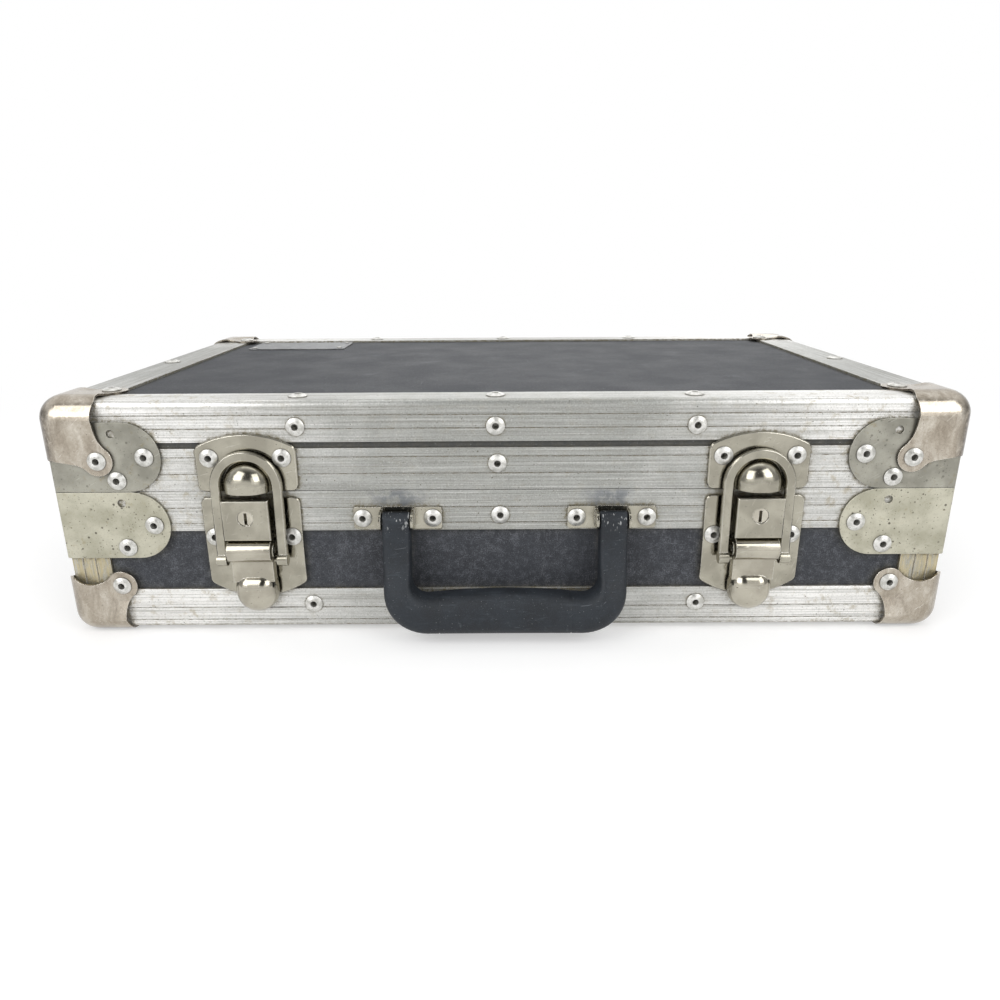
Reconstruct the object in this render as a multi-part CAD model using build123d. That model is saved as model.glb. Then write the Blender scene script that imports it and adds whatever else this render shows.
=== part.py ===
from build123d import *
import os
from math import asin, atan2, cos, degrees, hypot, radians, sin

# A hard case with a hinged lid, two draw latches and a swinging handle.
# X runs to the right, Y to the rear and Z up. The shell is drawn about its own centre with its underside
# at height 0, and every piece is moved at the end so that the case rests on the ground plane.

# Shell
case_width = 450.0
case_depth = 268.0
base_height = 76.0
lid_height = 46.0
mouth_gap = 0.3
board = 6.5
metal = 1.5
groove_width = 0.7
groove_depth = 0.35

# Edge angles: the leg on the wall, and the leg on the floor or lid
base_angle_wall_leg = 22.2
lid_angle_wall_leg = 20.9
angle_long_flat_leg = 19.1
angle_short_flat_leg = 25.7
angle_corner_radius = 3.5
base_angle_grooves = (4.5, 11.6)
lid_angle_grooves = (7.5, 14.2)
post_leg = 20.5
post_corner_radius = 2.0
post_grooves = (6.5, 13.0)

# Mouth extrusions
base_mouth_wall = 21.2
lid_mouth_wall = 21.6
base_mouth_grooves = (9.0, 17.3)
lid_mouth_grooves = (8.5, 17.1)
mouth_inner_wall = 1.2
mouth_inner_leg = 12.0
base_mouth_web = 2.2
lid_mouth_web = 5.2
tongue_depth_in = 4.5
tongue_width = 1.6
tongue_height = 3.0
tongue_side_clearance = 0.7
tongue_top_clearance = 0.6

# Tubular rivets
rivet_head_radius = 4.6
rivet_head_height = 1.4
rivet_head_rim = 0.5
rivet_dome_inset = 1.0
rivet_dome_fullness = 0.78
rivet_mouth_lip = 1.0
rivet_closed_end = 1.0
rivet_bore_radius = 1.7
rivet_shank_radius = 2.4
rivet_length = 6.0
rivet_hole_clearance = 0.05
rear_rivets = (-100.8, 0.0, 100.8)
base_front_rivets = (-100.8, -2.2, 100.2)
lid_front_rivets = (-102.4, -4.3, 94.4)
base_mouth_rivet_offset = -2.2
lid_mouth_rivet_offset = -3.5
base_angle_rivet_height = 13.7
lid_angle_rivet_drop = 13.2
flat_leg_rivet_inset = 10.0
base_mouth_rivet_drop = 13.2
lid_mouth_rivet_rise = 13.6

# Corner braces
brace_sheet = 1.2
brace_height = 35.4
brace_reach = 55.0
brace_bend_radius = 2.4
brace_rivets = ((47.0, 17.8), (31.8, 5.8))
brace_spare_hole = (32.0, 29.6)
brace_spare_hole_radius = 2.1

# Ball corners
ball_sheet = 1.2
ball_wall_proud = 4.4
ball_flat_proud = 2.4
ball_radius = 12.0
ball_lobe_radius = 7.7
ball_dimple_radius = 9.0
ball_wall_dimple_run = 12.0
ball_flat_dimple_run = 6.0
ball_relief_clearance = 0.12
ball_relief_margin = 0.5
ball_neck_reach = 11.0
ball_neck_step = 2.0
ball_neck_share = 0.4
ball_lobe_sweep = (-50.0, 140.0)
base_ball_lobe = (25.2, 25.0, 25.0)
base_ball_reach = (26.6, 27.5, 30.0)
lid_ball_lobe = (23.8, 23.8, 29.5)
lid_ball_reach = (26.0, 29.0, 29.5)

# Latches, one each side of the handle
latch_places = {"left": -128.0, "right": 126.0}
latch_plate_width = 50.0
latch_plate_sheet = 1.2
latch_plate_top_drop = 3.0
latch_plate_shoulder_height = 27.0
latch_plate_low_height = 19.0
latch_rivet_spacing = 19.6
latch_rivet_height = 52.0
latch_corner_radius = 3.5
edge_break_share = 1 / 3
catch_sheet = 1.6
catch_shoulder_height = 22.6
catch_arch_height = 29.3
catch_rivet_spacing = 18.0
catch_rivet_rise = 17.3
hood_width = 24.4
hood_depth = 11.0
hood_sheet = 1.2
hood_lip_gap = 0.8
hood_top_rise = 16.0
hood_rounding = 10.4
housing_width = 23.4
housing_depth = 11.5
housing_low = 53.5
housing_high = 74.3
housing_wall = 1.4

# Lever and bail
lever_pivot_out = 7.6
lever_pivot_height = 47.0
lever_barrel_radius = 5.9
lever_barrel_width = 21.6
lever_neck_width = 20.8
lever_neck_out = 8.6
lever_back_out = 3.4
lever_neck_low = 30.0
lever_hollow_top = 0.5
lever_sheet = 1.4
pad_width = 21.8
pad_out = 11.6
pad_low = 12.4
pad_high = 34.0
pad_rounding = 7.8
lever_pin_radius = 1.5
pivot_clearance = 0.06
ear_sheet = 0.8
ear_radius = 3.7
ear_gap = 0.2
bail_pivot_out = 6.6
bail_pivot_height = 41.5
bail_arch_height = 97.7
bail_arch_out = 4.4
bail_band = 5.0
bail_thickness = 2.4
bail_inner_half = 12.8
bail_eye_radius = 3.1
bail_pin_radius = 1.3
bail_pin_engagement = 2.0
bail_edge_break = 0.6

# Lock
cylinder_radius = 4.0
cylinder_height = 65.3
cylinder_front_step = 0.4
cylinder_length = 6.0
cylinder_clearance = 0.06
key_slot = (1.5, 6.2)
key_slot_depth = 4.0
key_slot_drop = 0.4
cam_pin_radius = 0.9
cam_angle = 45.0
bolt_throw = 3.6
bolt_width = 10.0
bolt_thickness = 2.0
bolt_slot_play = 0.25
bolt_side_clearance = 0.25
bolt_end_clearance = 0.6
bolt_slot_end = 0.8
cam_pin_end_play = 0.3

# Handle
handle_half_width = 61.4
handle_arm_width = 14.2
handle_low = 4.0
handle_corner_radius = 22.0
handle_window_low = 24.0
handle_window_arch = 2.4
handle_window_corner = 8.0
handle_out = 22.0
handle_back_out = 2.4
handle_pivot_out = 6.2
handle_pivot_height = 61.7
handle_eye_radius = 4.9
handle_pin_radius = 1.5
bracket_inner = 31.8
bracket_outer = 76.5
bracket_height = 11.8
bracket_sheet = 1.2
bracket_ear_radius = 4.6
bracket_ear_gap = 0.3
bracket_rivet_inset = 4.6
bracket_corner_radius = 1.6
bracket_recess_share = 0.55
handle_shoulder = (3.0, 14.0)

# Rear hinges
hinge_offset = 122.0
hinge_leaf_width = 56.0
hinge_leaf_height = 26.0
hinge_leaf_sheet = 1.5
hinge_knuckle_radius = 3.2
hinge_knuckle_count = 5
hinge_knuckle_gap = 0.25
hinge_wall_clearance = 0.4
hinge_swing_clearance = 0.3
hinge_pin_radius = 1.6
hinge_heel_length = 8.0
hinge_heel_sheet = 2.0
hinge_heel_spare = 1.5
hinge_corner_radius = 4.0
hinge_leaf_rivets = ((-22.0, 11.0), (22.0, 11.0), (0.0, 19.5))
lid_open_angle = 100.0

# Label plate and linings
label_length = 70.5
label_depth = 38.0
label_sheet = 0.9
label_left_inset = 36.8
label_rear_inset = 25.0
label_rivet_inset = 4.0
label_rivet_radius = 1.6
label_rivet_height = 0.7
label_corner_radius = 2.0
lining_thickness = 5.0
soft_clearance = 0.3

# Cutting tools: how far they run past what they cut, and a length beyond any piece's section
cut_over = 1.0
far = 80.0

# Worked out from the sizes above
parting = base_height + mouth_gap / 2
lid_low = base_height + mouth_gap
case_height = base_height + lid_height
inner_face = metal + board
mouth_inner_face = inner_face + mouth_inner_wall
hinge_axis_out = hinge_knuckle_radius + hinge_wall_clearance
front_reach = handle_out
rear_reach = hinge_axis_out + hinge_heel_length
frame_shift = Vector(0, (front_reach - rear_reach) / 2, ball_flat_proud)
base_brace_low = base_height - brace_height
cam_pin_offset = bolt_throw / 2 / sin(radians(cam_angle))

sides = ("front", "rear", "left", "right")
side_turn = {"front": 0, "rear": 180, "left": -90, "right": 90}
half_across = {
    "front": case_depth / 2,
    "rear": case_depth / 2,
    "left": case_width / 2,
    "right": case_width / 2,
}
side_length = {
    "front": case_width,
    "rear": case_width,
    "left": case_depth,
    "right": case_depth,
}


def on_side(side):
    """Location whose XZ plane is a side's outer face, with -Y pointing away from the case."""
    return Rot(Z=side_turn[side]) * Pos(0, -half_across[side], 0)


def wall_site(side, along, height, seat=0.0):
    """Rivet location on a wall, its own Z pointing outward, standing seat above the face."""
    return on_side(side) * Pos(along, -seat, height) * Rot(X=90)


def top_site(x, y, seat=0.0):
    return Pos(x, y, case_height + seat)


def bottom_site(x, y, seat=0.0):
    return Pos(x, y, -seat) * Rot(X=180)


def slab(x0, x1, y0, y1, z0, z1):
    """Box between two corners."""
    size = (x1 - x0, y1 - y0, z1 - z0)
    return Pos(x0, y0, z0) * Box(*size, align=(Align.MIN, Align.MIN, Align.MIN))


def four_ways(shape):
    """A front left corner piece and its mirror images at the other three corners."""
    pair = [shape, mirror(shape, about=Plane.YZ)]
    return pair + [mirror(piece, about=Plane.XZ) for piece in pair]


def corner_sites(along_long, along_short, height, seat):
    """Wall sites at both ends of each wall, at a distance from the corner."""
    found = []
    for side in sides:
        inset = along_long if side in ("front", "rear") else along_short
        for end in (-1, 1):
            along = end * (side_length[side] / 2 - inset)
            found.append(wall_site(side, along, height, seat))
    return found


def rivet(site):
    """Domed head over a hollow shank."""
    head = rivet_head_height
    outline = Polyline(
        (rivet_bore_radius, -rivet_length + rivet_closed_end),
        (rivet_bore_radius, head),
        (rivet_bore_radius + rivet_mouth_lip, head),
    )
    dome = ThreePointArc(
        (rivet_bore_radius + rivet_mouth_lip, head),
        (rivet_head_radius - rivet_dome_inset, head * rivet_dome_fullness),
        (rivet_head_radius, rivet_head_rim),
    )
    rest = Polyline(
        (rivet_head_radius, rivet_head_rim),
        (rivet_head_radius, 0),
        (rivet_shank_radius, 0),
        (rivet_shank_radius, -rivet_length),
        (0, -rivet_length),
        (0, -rivet_length + rivet_closed_end),
        (rivet_bore_radius, -rivet_length + rivet_closed_end),
    )
    section = Plane.XZ * make_face(Curve() + [outline, dome, rest])
    return site * revolve(section, Axis.Z)


def hole_tool(site):
    """Cylinder that clears a rivet's shank through everything below its head."""
    radius = rivet_shank_radius + rivet_hole_clearance
    depth = rivet_length + rivet_hole_clearance
    return site * Pos(0, 0, -depth) * Cylinder(radius, depth, align=(Align.CENTER, Align.CENTER, Align.MIN))


def boxes_meet(a, b):
    """Whether two bounding boxes share any space."""
    starts_before_end = all(p <= q for p, q in zip(a.min, b.max))
    ends_after_start = all(p >= q for p, q in zip(a.max, b.min))
    return starts_before_end and ends_after_start


def drilled(piece, sites):
    """Piece with a hole for each rivet whose shank reaches it."""
    box = piece.bounding_box()
    tools = [tool for tool in map(hole_tool, sites) if boxes_meet(tool.bounding_box(), box)]
    return piece - tools if tools else piece


def save(name, shape):
    """Write one node, a solid or a list of them, moved to stand on the ground plane."""
    pieces = shape if isinstance(shape, list) else [shape]
    shift = Location(frame_shift)
    solids = [solid.moved(shift) for piece in pieces for solid in piece.solids()]
    whole = solids[0] if len(solids) == 1 else Compound(children=solids)
    export_step(whole, f"parts/{name}.step")


# Rivet sites, grouped by the body that carries them


def base_rivet_sites():
    found = []
    for side, places in (("front", base_front_rivets), ("rear", rear_rivets)):
        for along in places:
            found.append(wall_site(side, along, base_angle_rivet_height))
            y = (case_depth / 2 - flat_leg_rivet_inset) * (-1 if side == "front" else 1)
            found.append(bottom_site(along, y))
    for side in ("left", "right"):
        found.append(wall_site(side, 0, base_angle_rivet_height))
        x = (case_width / 2 - flat_leg_rivet_inset) * (-1 if side == "left" else 1)
        found.append(bottom_site(x, 0))
    for side in sides:
        along = base_mouth_rivet_offset if side == "front" else 0
        found.append(wall_site(side, along, base_height - base_mouth_rivet_drop))
    for inset, rise in brace_rivets:
        found += corner_sites(inset, inset, base_brace_low + rise, brace_sheet)
    found += ball_rivet_sites(base_ball_lobe, False)
    for x in latch_places.values():
        for across in (-latch_rivet_spacing, latch_rivet_spacing):
            found.append(wall_site("front", x + across, latch_rivet_height, latch_plate_sheet))
    for end in (-1, 1):
        for x in (bracket_inner + bracket_rivet_inset, bracket_outer - bracket_rivet_inset):
            found.append(wall_site("front", end * x, handle_pivot_height, bracket_sheet))
    for x in (-hinge_offset, hinge_offset):
        for across, drop in hinge_leaf_rivets:
            found.append(wall_site("rear", x + across, parting - drop, hinge_leaf_sheet))
    return found


def lid_rivet_sites():
    found = []
    for side, places in (("front", lid_front_rivets), ("rear", rear_rivets)):
        for along in places:
            found.append(wall_site(side, along, case_height - lid_angle_rivet_drop))
            y = (case_depth / 2 - flat_leg_rivet_inset) * (-1 if side == "front" else 1)
            found.append(top_site(along, y))
    for side in ("left", "right"):
        found.append(wall_site(side, 0, case_height - lid_angle_rivet_drop))
        x = (case_width / 2 - flat_leg_rivet_inset) * (-1 if side == "left" else 1)
        found.append(top_site(x, 0))
    for side in sides:
        along = lid_mouth_rivet_offset if side == "front" else 0
        found.append(wall_site(side, along, lid_low + lid_mouth_rivet_rise))
    for inset, rise in brace_rivets:
        found += corner_sites(inset, inset, lid_low + rise, brace_sheet)
    found += ball_rivet_sites(lid_ball_lobe, True)
    for x in latch_places.values():
        for across in (-catch_rivet_spacing, catch_rivet_spacing):
            found.append(wall_site("front", x + across, lid_low + catch_rivet_rise, catch_sheet))
    for x in (-hinge_offset, hinge_offset):
        for across, rise in hinge_leaf_rivets:
            found.append(wall_site("rear", x + across, parting + rise, hinge_leaf_sheet))
    return found


def ball_rivet_sites(lobe, on_lid):
    """The three lobes of each ball corner, seen from the lid or the base."""
    x, y, z = lobe
    wall_seat = ball_sheet + (brace_sheet if on_lid else 0)
    height = case_height - z if on_lid else z
    flat_site = top_site if on_lid else bottom_site
    found = corner_sites(x, y, height, wall_seat)
    for across in (-1, 1):
        for along in (-1, 1):
            spot = (across * (case_width / 2 - x), along * (case_depth / 2 - y))
            found.append(flat_site(*spot, ball_sheet))
    return found


# Edging


def edge_length(section, length):
    """Mitred length along X, drawn from a section of depth behind the face against height."""
    bar = extrude(Plane.YZ * section, length / 2, both=True)
    wedge = Polygon(
        (-length / 2 - far, -far),
        (length / 2 + far, -far),
        (length / 2 - far, far),
        (-length / 2 + far, far),
        align=None,
    )
    return bar & extrude(wedge, case_height, both=True)


def with_grooves(section, heights):
    for height in heights:
        section -= Pos(0, height) * Rectangle(2 * groove_depth, groove_width)
    return section


def block(y0, y1, z0, z1):
    """Rectangle of a section between two depths and two heights."""
    return Pos((y0 + y1) / 2, (z0 + z1) / 2) * Rectangle(y1 - y0, z1 - z0)


def rounded_at(section, corner, radius):
    return fillet(section.vertices().sort_by_distance(corner)[0], radius)


def base_angle_section(flat_leg):
    section = block(0, metal, 0, base_angle_wall_leg) + block(0, flat_leg, 0, metal)
    section = rounded_at(section, (0, 0), angle_corner_radius)
    return with_grooves(section, base_angle_grooves)


def lid_angle_section(flat_leg):
    high = case_height
    section = block(0, metal, high - lid_angle_wall_leg, high) + block(0, flat_leg, high - metal, high)
    section = rounded_at(section, (0, high), angle_corner_radius)
    return with_grooves(section, [high - drop for drop in lid_angle_grooves])


def base_mouth_section():
    """Channel over the tray's rim, with a tongue on top."""
    top = base_height
    section = block(0, metal, top - base_mouth_wall, top)
    section += block(0, mouth_inner_face, top - base_mouth_web, top)
    section += block(inner_face, mouth_inner_face, top - mouth_inner_leg, top)
    half = tongue_width / 2
    section += block(tongue_depth_in - half, tongue_depth_in + half, top, top + tongue_height)
    return with_grooves(section, [top - drop for drop in base_mouth_grooves])


def lid_mouth_section():
    """Channel over the lid's rim, with a groove for the tongue."""
    low = lid_low
    section = block(0, metal, low, low + lid_mouth_wall)
    section += block(0, mouth_inner_face, low, low + lid_mouth_web)
    section += block(inner_face, mouth_inner_face, low, low + mouth_inner_leg)
    half = tongue_width / 2 + tongue_side_clearance
    groove_top = base_height + tongue_height + tongue_top_clearance
    section -= block(tongue_depth_in - half, tongue_depth_in + half, low - cut_over, groove_top)
    return with_grooves(section, [low + rise for rise in lid_mouth_grooves])


def edging(section_for):
    """One mitred length on each side, from a function of the side's name."""
    return {side: on_side(side) * edge_length(section_for(side), side_length[side]) for side in sides}


def flat_leg_of(side):
    return angle_long_flat_leg if side in ("front", "rear") else angle_short_flat_leg


def corner_post():
    """Short upright angle between the base's bottom angle and its mouth, at the front left corner."""
    x = -case_width / 2
    y = -case_depth / 2
    low = base_angle_wall_leg
    high = base_height - base_mouth_wall
    post = slab(x, x + post_leg, y, y + metal, low, high) + slab(x, x + metal, y, y + post_leg, low, high)
    corner = post.edges().filter_by(Axis.Z).sort_by_distance((x, y, (low + high) / 2))[0]
    post = fillet(corner, post_corner_radius)
    for inset in post_grooves:
        post -= Pos(x + inset, y, (low + high) / 2) * Box(groove_width, 2 * groove_depth, high - low)
        post -= Pos(x, y + inset, (low + high) / 2) * Box(2 * groove_depth, groove_width, high - low)
    return post


def boards():
    """Five boards of each tray, as a dictionary from node name to solid."""
    x = case_width / 2 - metal
    y = case_depth / 2 - metal
    base_rim = base_height - base_mouth_web
    lid_rim = lid_low + lid_mouth_web
    lid_ceiling = case_height - inner_face
    made = {
        "base_floor_board": slab(-x, x, -y, y, metal, inner_face),
        "lid_top_board": slab(-x, x, -y, y, lid_ceiling, case_height - metal),
    }
    for body, low, high in (("base", inner_face, base_rim), ("lid", lid_rim, lid_ceiling)):
        made[f"{body}_front_board"] = slab(-x, x, -y, -y + board, low, high)
        made[f"{body}_rear_board"] = slab(-x, x, y - board, y, low, high)
        made[f"{body}_left_board"] = slab(-x, -x + board, -y + board, y - board, low, high)
        made[f"{body}_right_board"] = slab(x - board, x, -y + board, y - board, low, high)
    return made


# Ball corners, drawn at a corner whose three faces are the planes X, Y and Z = 0 with the case beyond them


def rounded_form(inset):
    """Solid form of the outside of a ball corner, or of a form inset from it, with its edges rounded."""
    wall = inset - ball_wall_proud
    flat = inset - ball_flat_proud
    form = slab(wall, far, wall, far, flat, far)
    near = [
        form.edges().filter_by(axis).sort_by_distance((wall, wall, flat))[0]
        for axis in (Axis.X, Axis.Y, Axis.Z)
    ]
    return fillet(near, ball_radius - inset)


def lobed_outline(lobe, reach):
    """Outline on one face, in distances from the two edges that meet there."""
    p, q = lobe
    out = -2 * ball_wall_proud
    neck = (p + ball_neck_share * (reach[0] - p), ball_neck_reach)
    other_neck = (ball_neck_reach - ball_neck_step, q + ball_neck_step / 2)
    start, finish = (radians(angle) for angle in ball_lobe_sweep)
    angles = (start, (start + finish) / 2, finish)
    ring = [(p + ball_lobe_radius * cos(a), q + ball_lobe_radius * sin(a)) for a in angles]
    into_lobe = (-sin(start), cos(start))
    off_lobe = (-sin(finish), cos(finish))
    low_curve = Spline((reach[0], 0), neck, ring[0], tangents=[(-0.3, 1), into_lobe])
    lobe_arc = ThreePointArc(*ring)
    high_curve = Spline(ring[2], other_neck, (0, reach[1]), tangents=[off_lobe, (-1, 0.3)])
    rest = Polyline((0, reach[1]), (out, reach[1]), (out, out), (reach[0], out), (reach[0], 0))
    return make_face(Curve() + [low_curve, lobe_arc, high_curve, rest])


def dimple(face_plane, lobe, floor, top, run):
    """Wide cone that dishes the form down to the floor around one rivet."""
    tall = top + cut_over - floor
    cone = Cone(ball_dimple_radius, ball_dimple_radius + run * tall / (top - floor), tall)
    return face_plane.location * Pos(lobe[0], lobe[1], floor + tall / 2) * cone


def nearer(face, other):
    """Everything that lies nearer to the plane of one axis than to that of another."""
    axes = (Vector(1, 0, 0), Vector(0, 1, 0), Vector(0, 0, 1))
    plane = Plane(origin=(0, 0, 0), x_dir=axes[face], z_dir=axes[face].cross(axes[other]))
    half = Polygon((-far, -far), (far, far), (-far, far), align=None)
    return extrude(plane * half, far, both=True)


def ball_corner(lobe, reach, wall_seat):
    """Pressed sheet cap with a lobe on each face."""
    x, y, z = lobe
    rx, ry, rz = reach
    front = Plane(origin=(0, 0, 0), x_dir=(1, 0, 0), z_dir=(0, -1, 0))
    left = Plane(origin=(0, 0, 0), x_dir=(0, 0, 1), z_dir=(-1, 0, 0))
    flat = Plane(origin=(0, 0, 0), x_dir=(0, 1, 0), z_dir=(0, 0, -1))
    wall = (wall_seat, ball_wall_proud, ball_wall_dimple_run)
    floor = (0.0, ball_flat_proud, ball_flat_dimple_run)
    faces = (
        (left, (0, 1, 2), (z, y), (rz, ry), wall),
        (front, (1, 2, 0), (x, z), (rx, rz), wall),
        (flat, (2, 0, 1), (y, x), (ry, rx), floor),
    )
    outer = rounded_form(0)
    inner = rounded_form(ball_sheet)
    keep = []
    for plane, (face, second, third), spot, ends, (seat, proud, run) in faces:
        outer -= dimple(plane, spot, seat + ball_sheet, proud, run)
        inner -= dimple(plane, spot, seat, proud - ball_sheet, run)
        prism = extrude(plane * lobed_outline(spot, ends), 2 * ball_radius, both=True)
        keep.append(prism & nearer(face, second) & nearer(face, third))
    return (outer - inner) & (keep[0] + keep[1] + keep[2])


def ball_relief(reach):
    """Everything outside the inside of a ball corner, as far as its lips."""
    low = -2 * ball_wall_proud
    high = [end + ball_relief_margin for end in reach]
    near = slab(low, high[0], low, high[1], low, high[2])
    return near - rounded_form(ball_sheet + ball_relief_clearance)


def at_base_corner(shape):
    return Pos(-case_width / 2, -case_depth / 2, 0) * shape


def at_lid_corner(shape):
    return Pos(-case_width / 2, -case_depth / 2, case_height) * mirror(shape, about=Plane.XY)


def corner_brace(low):
    """Round-ended strap bent round the front left upright edge."""
    x = -case_width / 2
    y = -case_depth / 2
    radius = brace_height / 2
    straight = brace_reach - radius
    out = brace_sheet
    high = low + brace_height
    strap = slab(x - out, x + straight, y - out, y, low, high)
    strap += slab(x - out, x, y - out, y + straight, low, high)
    corner = strap.edges().filter_by(Axis.Z).sort_by_distance((x - out, y - out, low + radius))[0]
    strap = fillet(corner, brace_bend_radius)
    middle = low + radius
    strap += Pos(x + straight, y - out / 2, middle) * Rot(X=90) * Cylinder(radius, out)
    strap += Pos(x - out / 2, y + straight, middle) * Rot(Y=90) * Cylinder(radius, out)
    inset, rise = brace_spare_hole
    hole = Cylinder(brace_spare_hole_radius, 3 * out)
    strap -= Pos(x + inset, y - out / 2, low + rise) * Rot(X=90) * hole
    strap -= Pos(x - out / 2, y + inset, low + rise) * Rot(Y=90) * hole
    return strap


# Latches, drawn with X across, Y = 0 on the front face, -Y outward and Z up from the case's underside


def at_latch(x, shape):
    return Pos(x, -case_depth / 2, 0) * shape


def outward(sketch, amount, start=0.0):
    """Extrude a sketch of X against Z away from the front face."""
    plane = Plane(origin=(0, -start, 0), x_dir=(1, 0, 0), z_dir=(0, -1, 0))
    return extrude(plane * sketch, amount)


def domed(outline, back, front, rounding):
    """Sketch of X against Z raised from one distance off the face to another, its front rim rounded."""
    body = outward(outline, front - back, back)
    rim = body.faces().sort_by(Axis.Y)[0].edges()
    return fillet(rim, rounding)


def catch_hood(inset):
    """Outside form of the hood, or its inside for an inset equal to the sheet."""
    radius = hood_width / 2 - inset
    low = lid_low + hood_lip_gap
    middle = lid_low + hood_top_rise - hood_width / 2
    foot = low - 2 * hood_rounding
    skirt = Pos(0, (middle + foot) / 2) * Rectangle(2 * radius, middle - foot)
    outline = Pos(0, middle) * Circle(radius) + skirt
    form = domed(outline, 0, hood_depth - inset, hood_rounding - inset)
    floor = low - cut_over * (inset > 0)
    return form & slab(-radius, radius, -hood_depth, 0, floor, case_height)


def catch_plate():
    half = latch_plate_width / 2
    low = lid_low
    shoulder = lid_low + catch_shoulder_height
    arch = lid_low + catch_arch_height
    sides_line = Polyline((-half, shoulder), (-half, low), (half, low), (half, shoulder))
    top = ThreePointArc((half, shoulder), (0, arch), (-half, shoulder))
    outline = make_face(Curve() + [sides_line, top])
    outline = fillet(outline.vertices(), latch_corner_radius)
    plate = outward(outline, catch_sheet)
    rim = plate.faces().sort_by(Axis.Y)[0].edges()
    plate = chamfer(rim, catch_sheet * edge_break_share)
    return plate + (catch_hood(0) - catch_hood(hood_sheet))


def lock_housing():
    """Hollow box round the lock, open at the back."""
    half = housing_width / 2
    wall = housing_wall
    body = slab(-half, half, -housing_depth, -latch_plate_sheet, housing_low, housing_high)
    rim = body.faces().sort_by(Axis.Y)[0].edges()
    body = chamfer(rim, wall * edge_break_share)
    low = housing_low + wall
    high = housing_high - wall
    body -= slab(-half + wall, half - wall, -housing_depth + wall, 0, low, high)
    cylinder_hole = Cylinder(cylinder_radius + cylinder_clearance, 4 * wall)
    body -= Pos(0, -housing_depth, cylinder_height) * Rot(X=90) * cylinder_hole
    slot_half = bolt_width / 2 + bolt_side_clearance
    out_low, out_high = bolt_outs()
    front = -out_high - bolt_side_clearance
    back = -out_low + bolt_side_clearance
    return body - slab(-slot_half, slot_half, front, back, housing_low - cut_over, low + cut_over)


def bolt_outs():
    """Distances from the front face to the bolt's back and front."""
    front = housing_depth - cylinder_front_step - cylinder_length
    return front - bolt_thickness - bolt_side_clearance, front - bolt_side_clearance


def lock_bolt():
    """Plate behind the cylinder, with a slot for the cam pin."""
    out_low, out_high = bolt_outs()
    low = housing_low + bolt_side_clearance
    high = housing_high - housing_wall - bolt_end_clearance
    half = bolt_width / 2
    plate = slab(-half, half, -out_high, -out_low, low, high)
    pin_rest = cylinder_height + cam_pin_offset * sin(radians(cam_angle))
    slot_half = cam_pin_radius + bolt_slot_play
    slot_low = pin_rest - slot_half
    slot_high = pin_rest + slot_half
    slot_end = half - bolt_slot_end
    front = -out_high - cut_over
    back = -out_low + cut_over
    return plate - slab(-bolt_slot_play, slot_end, front, back, slot_low, slot_high)


def key_cylinder():
    """Plug with a key slot in front and a cam pin behind."""
    front = housing_depth - cylinder_front_step
    back = front - cylinder_length
    plug = Cylinder(cylinder_radius, cylinder_length)
    plug = Pos(0, -(front + back) / 2, cylinder_height) * Rot(X=90) * plug
    width, tall = key_slot
    low = cylinder_height - tall / 2 - key_slot_drop
    plug -= slab(-width / 2, width / 2, -front - cut_over, -front + key_slot_depth, low, low + tall)
    angle = radians(cam_angle)
    out_low = bolt_outs()[0]
    spot = (cam_pin_offset * cos(angle), cylinder_height + cam_pin_offset * sin(angle))
    length = back - out_low + 2 * cam_pin_end_play
    pin = Cylinder(cam_pin_radius, length)
    pin_middle = back - length / 2 + cam_pin_end_play
    return plug + Pos(spot[0], -pin_middle, spot[1]) * Rot(X=90) * pin


def latch_plate():
    """Back plate with two ears for the lever's pin."""
    half = latch_plate_width / 2
    high = base_height - latch_plate_top_drop
    shoulder = latch_plate_shoulder_height
    sides_line = Polyline((half, shoulder), (half, high), (-half, high), (-half, shoulder))
    bottom = ThreePointArc((-half, shoulder), (0, latch_plate_low_height), (half, shoulder))
    outline = make_face(Curve() + [sides_line, bottom])
    outline = fillet(outline.vertices(), latch_corner_radius)
    plate = outward(outline, latch_plate_sheet)
    rim = plate.faces().sort_by(Axis.Y)[0].edges()
    plate = chamfer(rim, latch_plate_sheet * edge_break_share)
    inner = lever_barrel_width / 2 + ear_gap
    for end in (-1, 1):
        x = end * (inner + ear_sheet / 2)
        ear = Pos(x, -lever_pivot_out, lever_pivot_height) * Rot(Y=90) * Cylinder(ear_radius, ear_sheet)
        low = lever_pivot_height - ear_radius
        high = lever_pivot_height + ear_radius
        left = x - ear_sheet / 2
        plate += ear + slab(left, left + ear_sheet, -lever_pivot_out, -latch_plate_sheet / 2, low, high)
    return plate - lever_pin()


def lever_pin():
    length = lever_barrel_width + 2 * (ear_gap + ear_sheet)
    pin = Cylinder(lever_pin_radius, length)
    return Pos(0, -lever_pivot_out, lever_pivot_height) * Rot(Y=90) * pin


def thumb_pad(inset):
    """Domed end of the lever, outside or inside."""
    half = pad_width / 2 - inset
    low = pad_low + inset
    high = pad_high - inset
    middle = pad_low + pad_width / 2
    shoulders = Pos(0, (middle + high) / 2) * Rectangle(2 * half, high - middle)
    outline = Pos(0, middle) * Circle(half) + shoulders
    outline &= Pos(0, (low + high) / 2) * Rectangle(2 * half, high - low)
    corners = outline.vertices().sort_by(Axis.Y)[-2:]
    outline = fillet(corners, pad_rounding - inset)
    return domed(outline, lever_back_out - 2 * inset, pad_out - inset, pad_rounding - inset)


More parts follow.
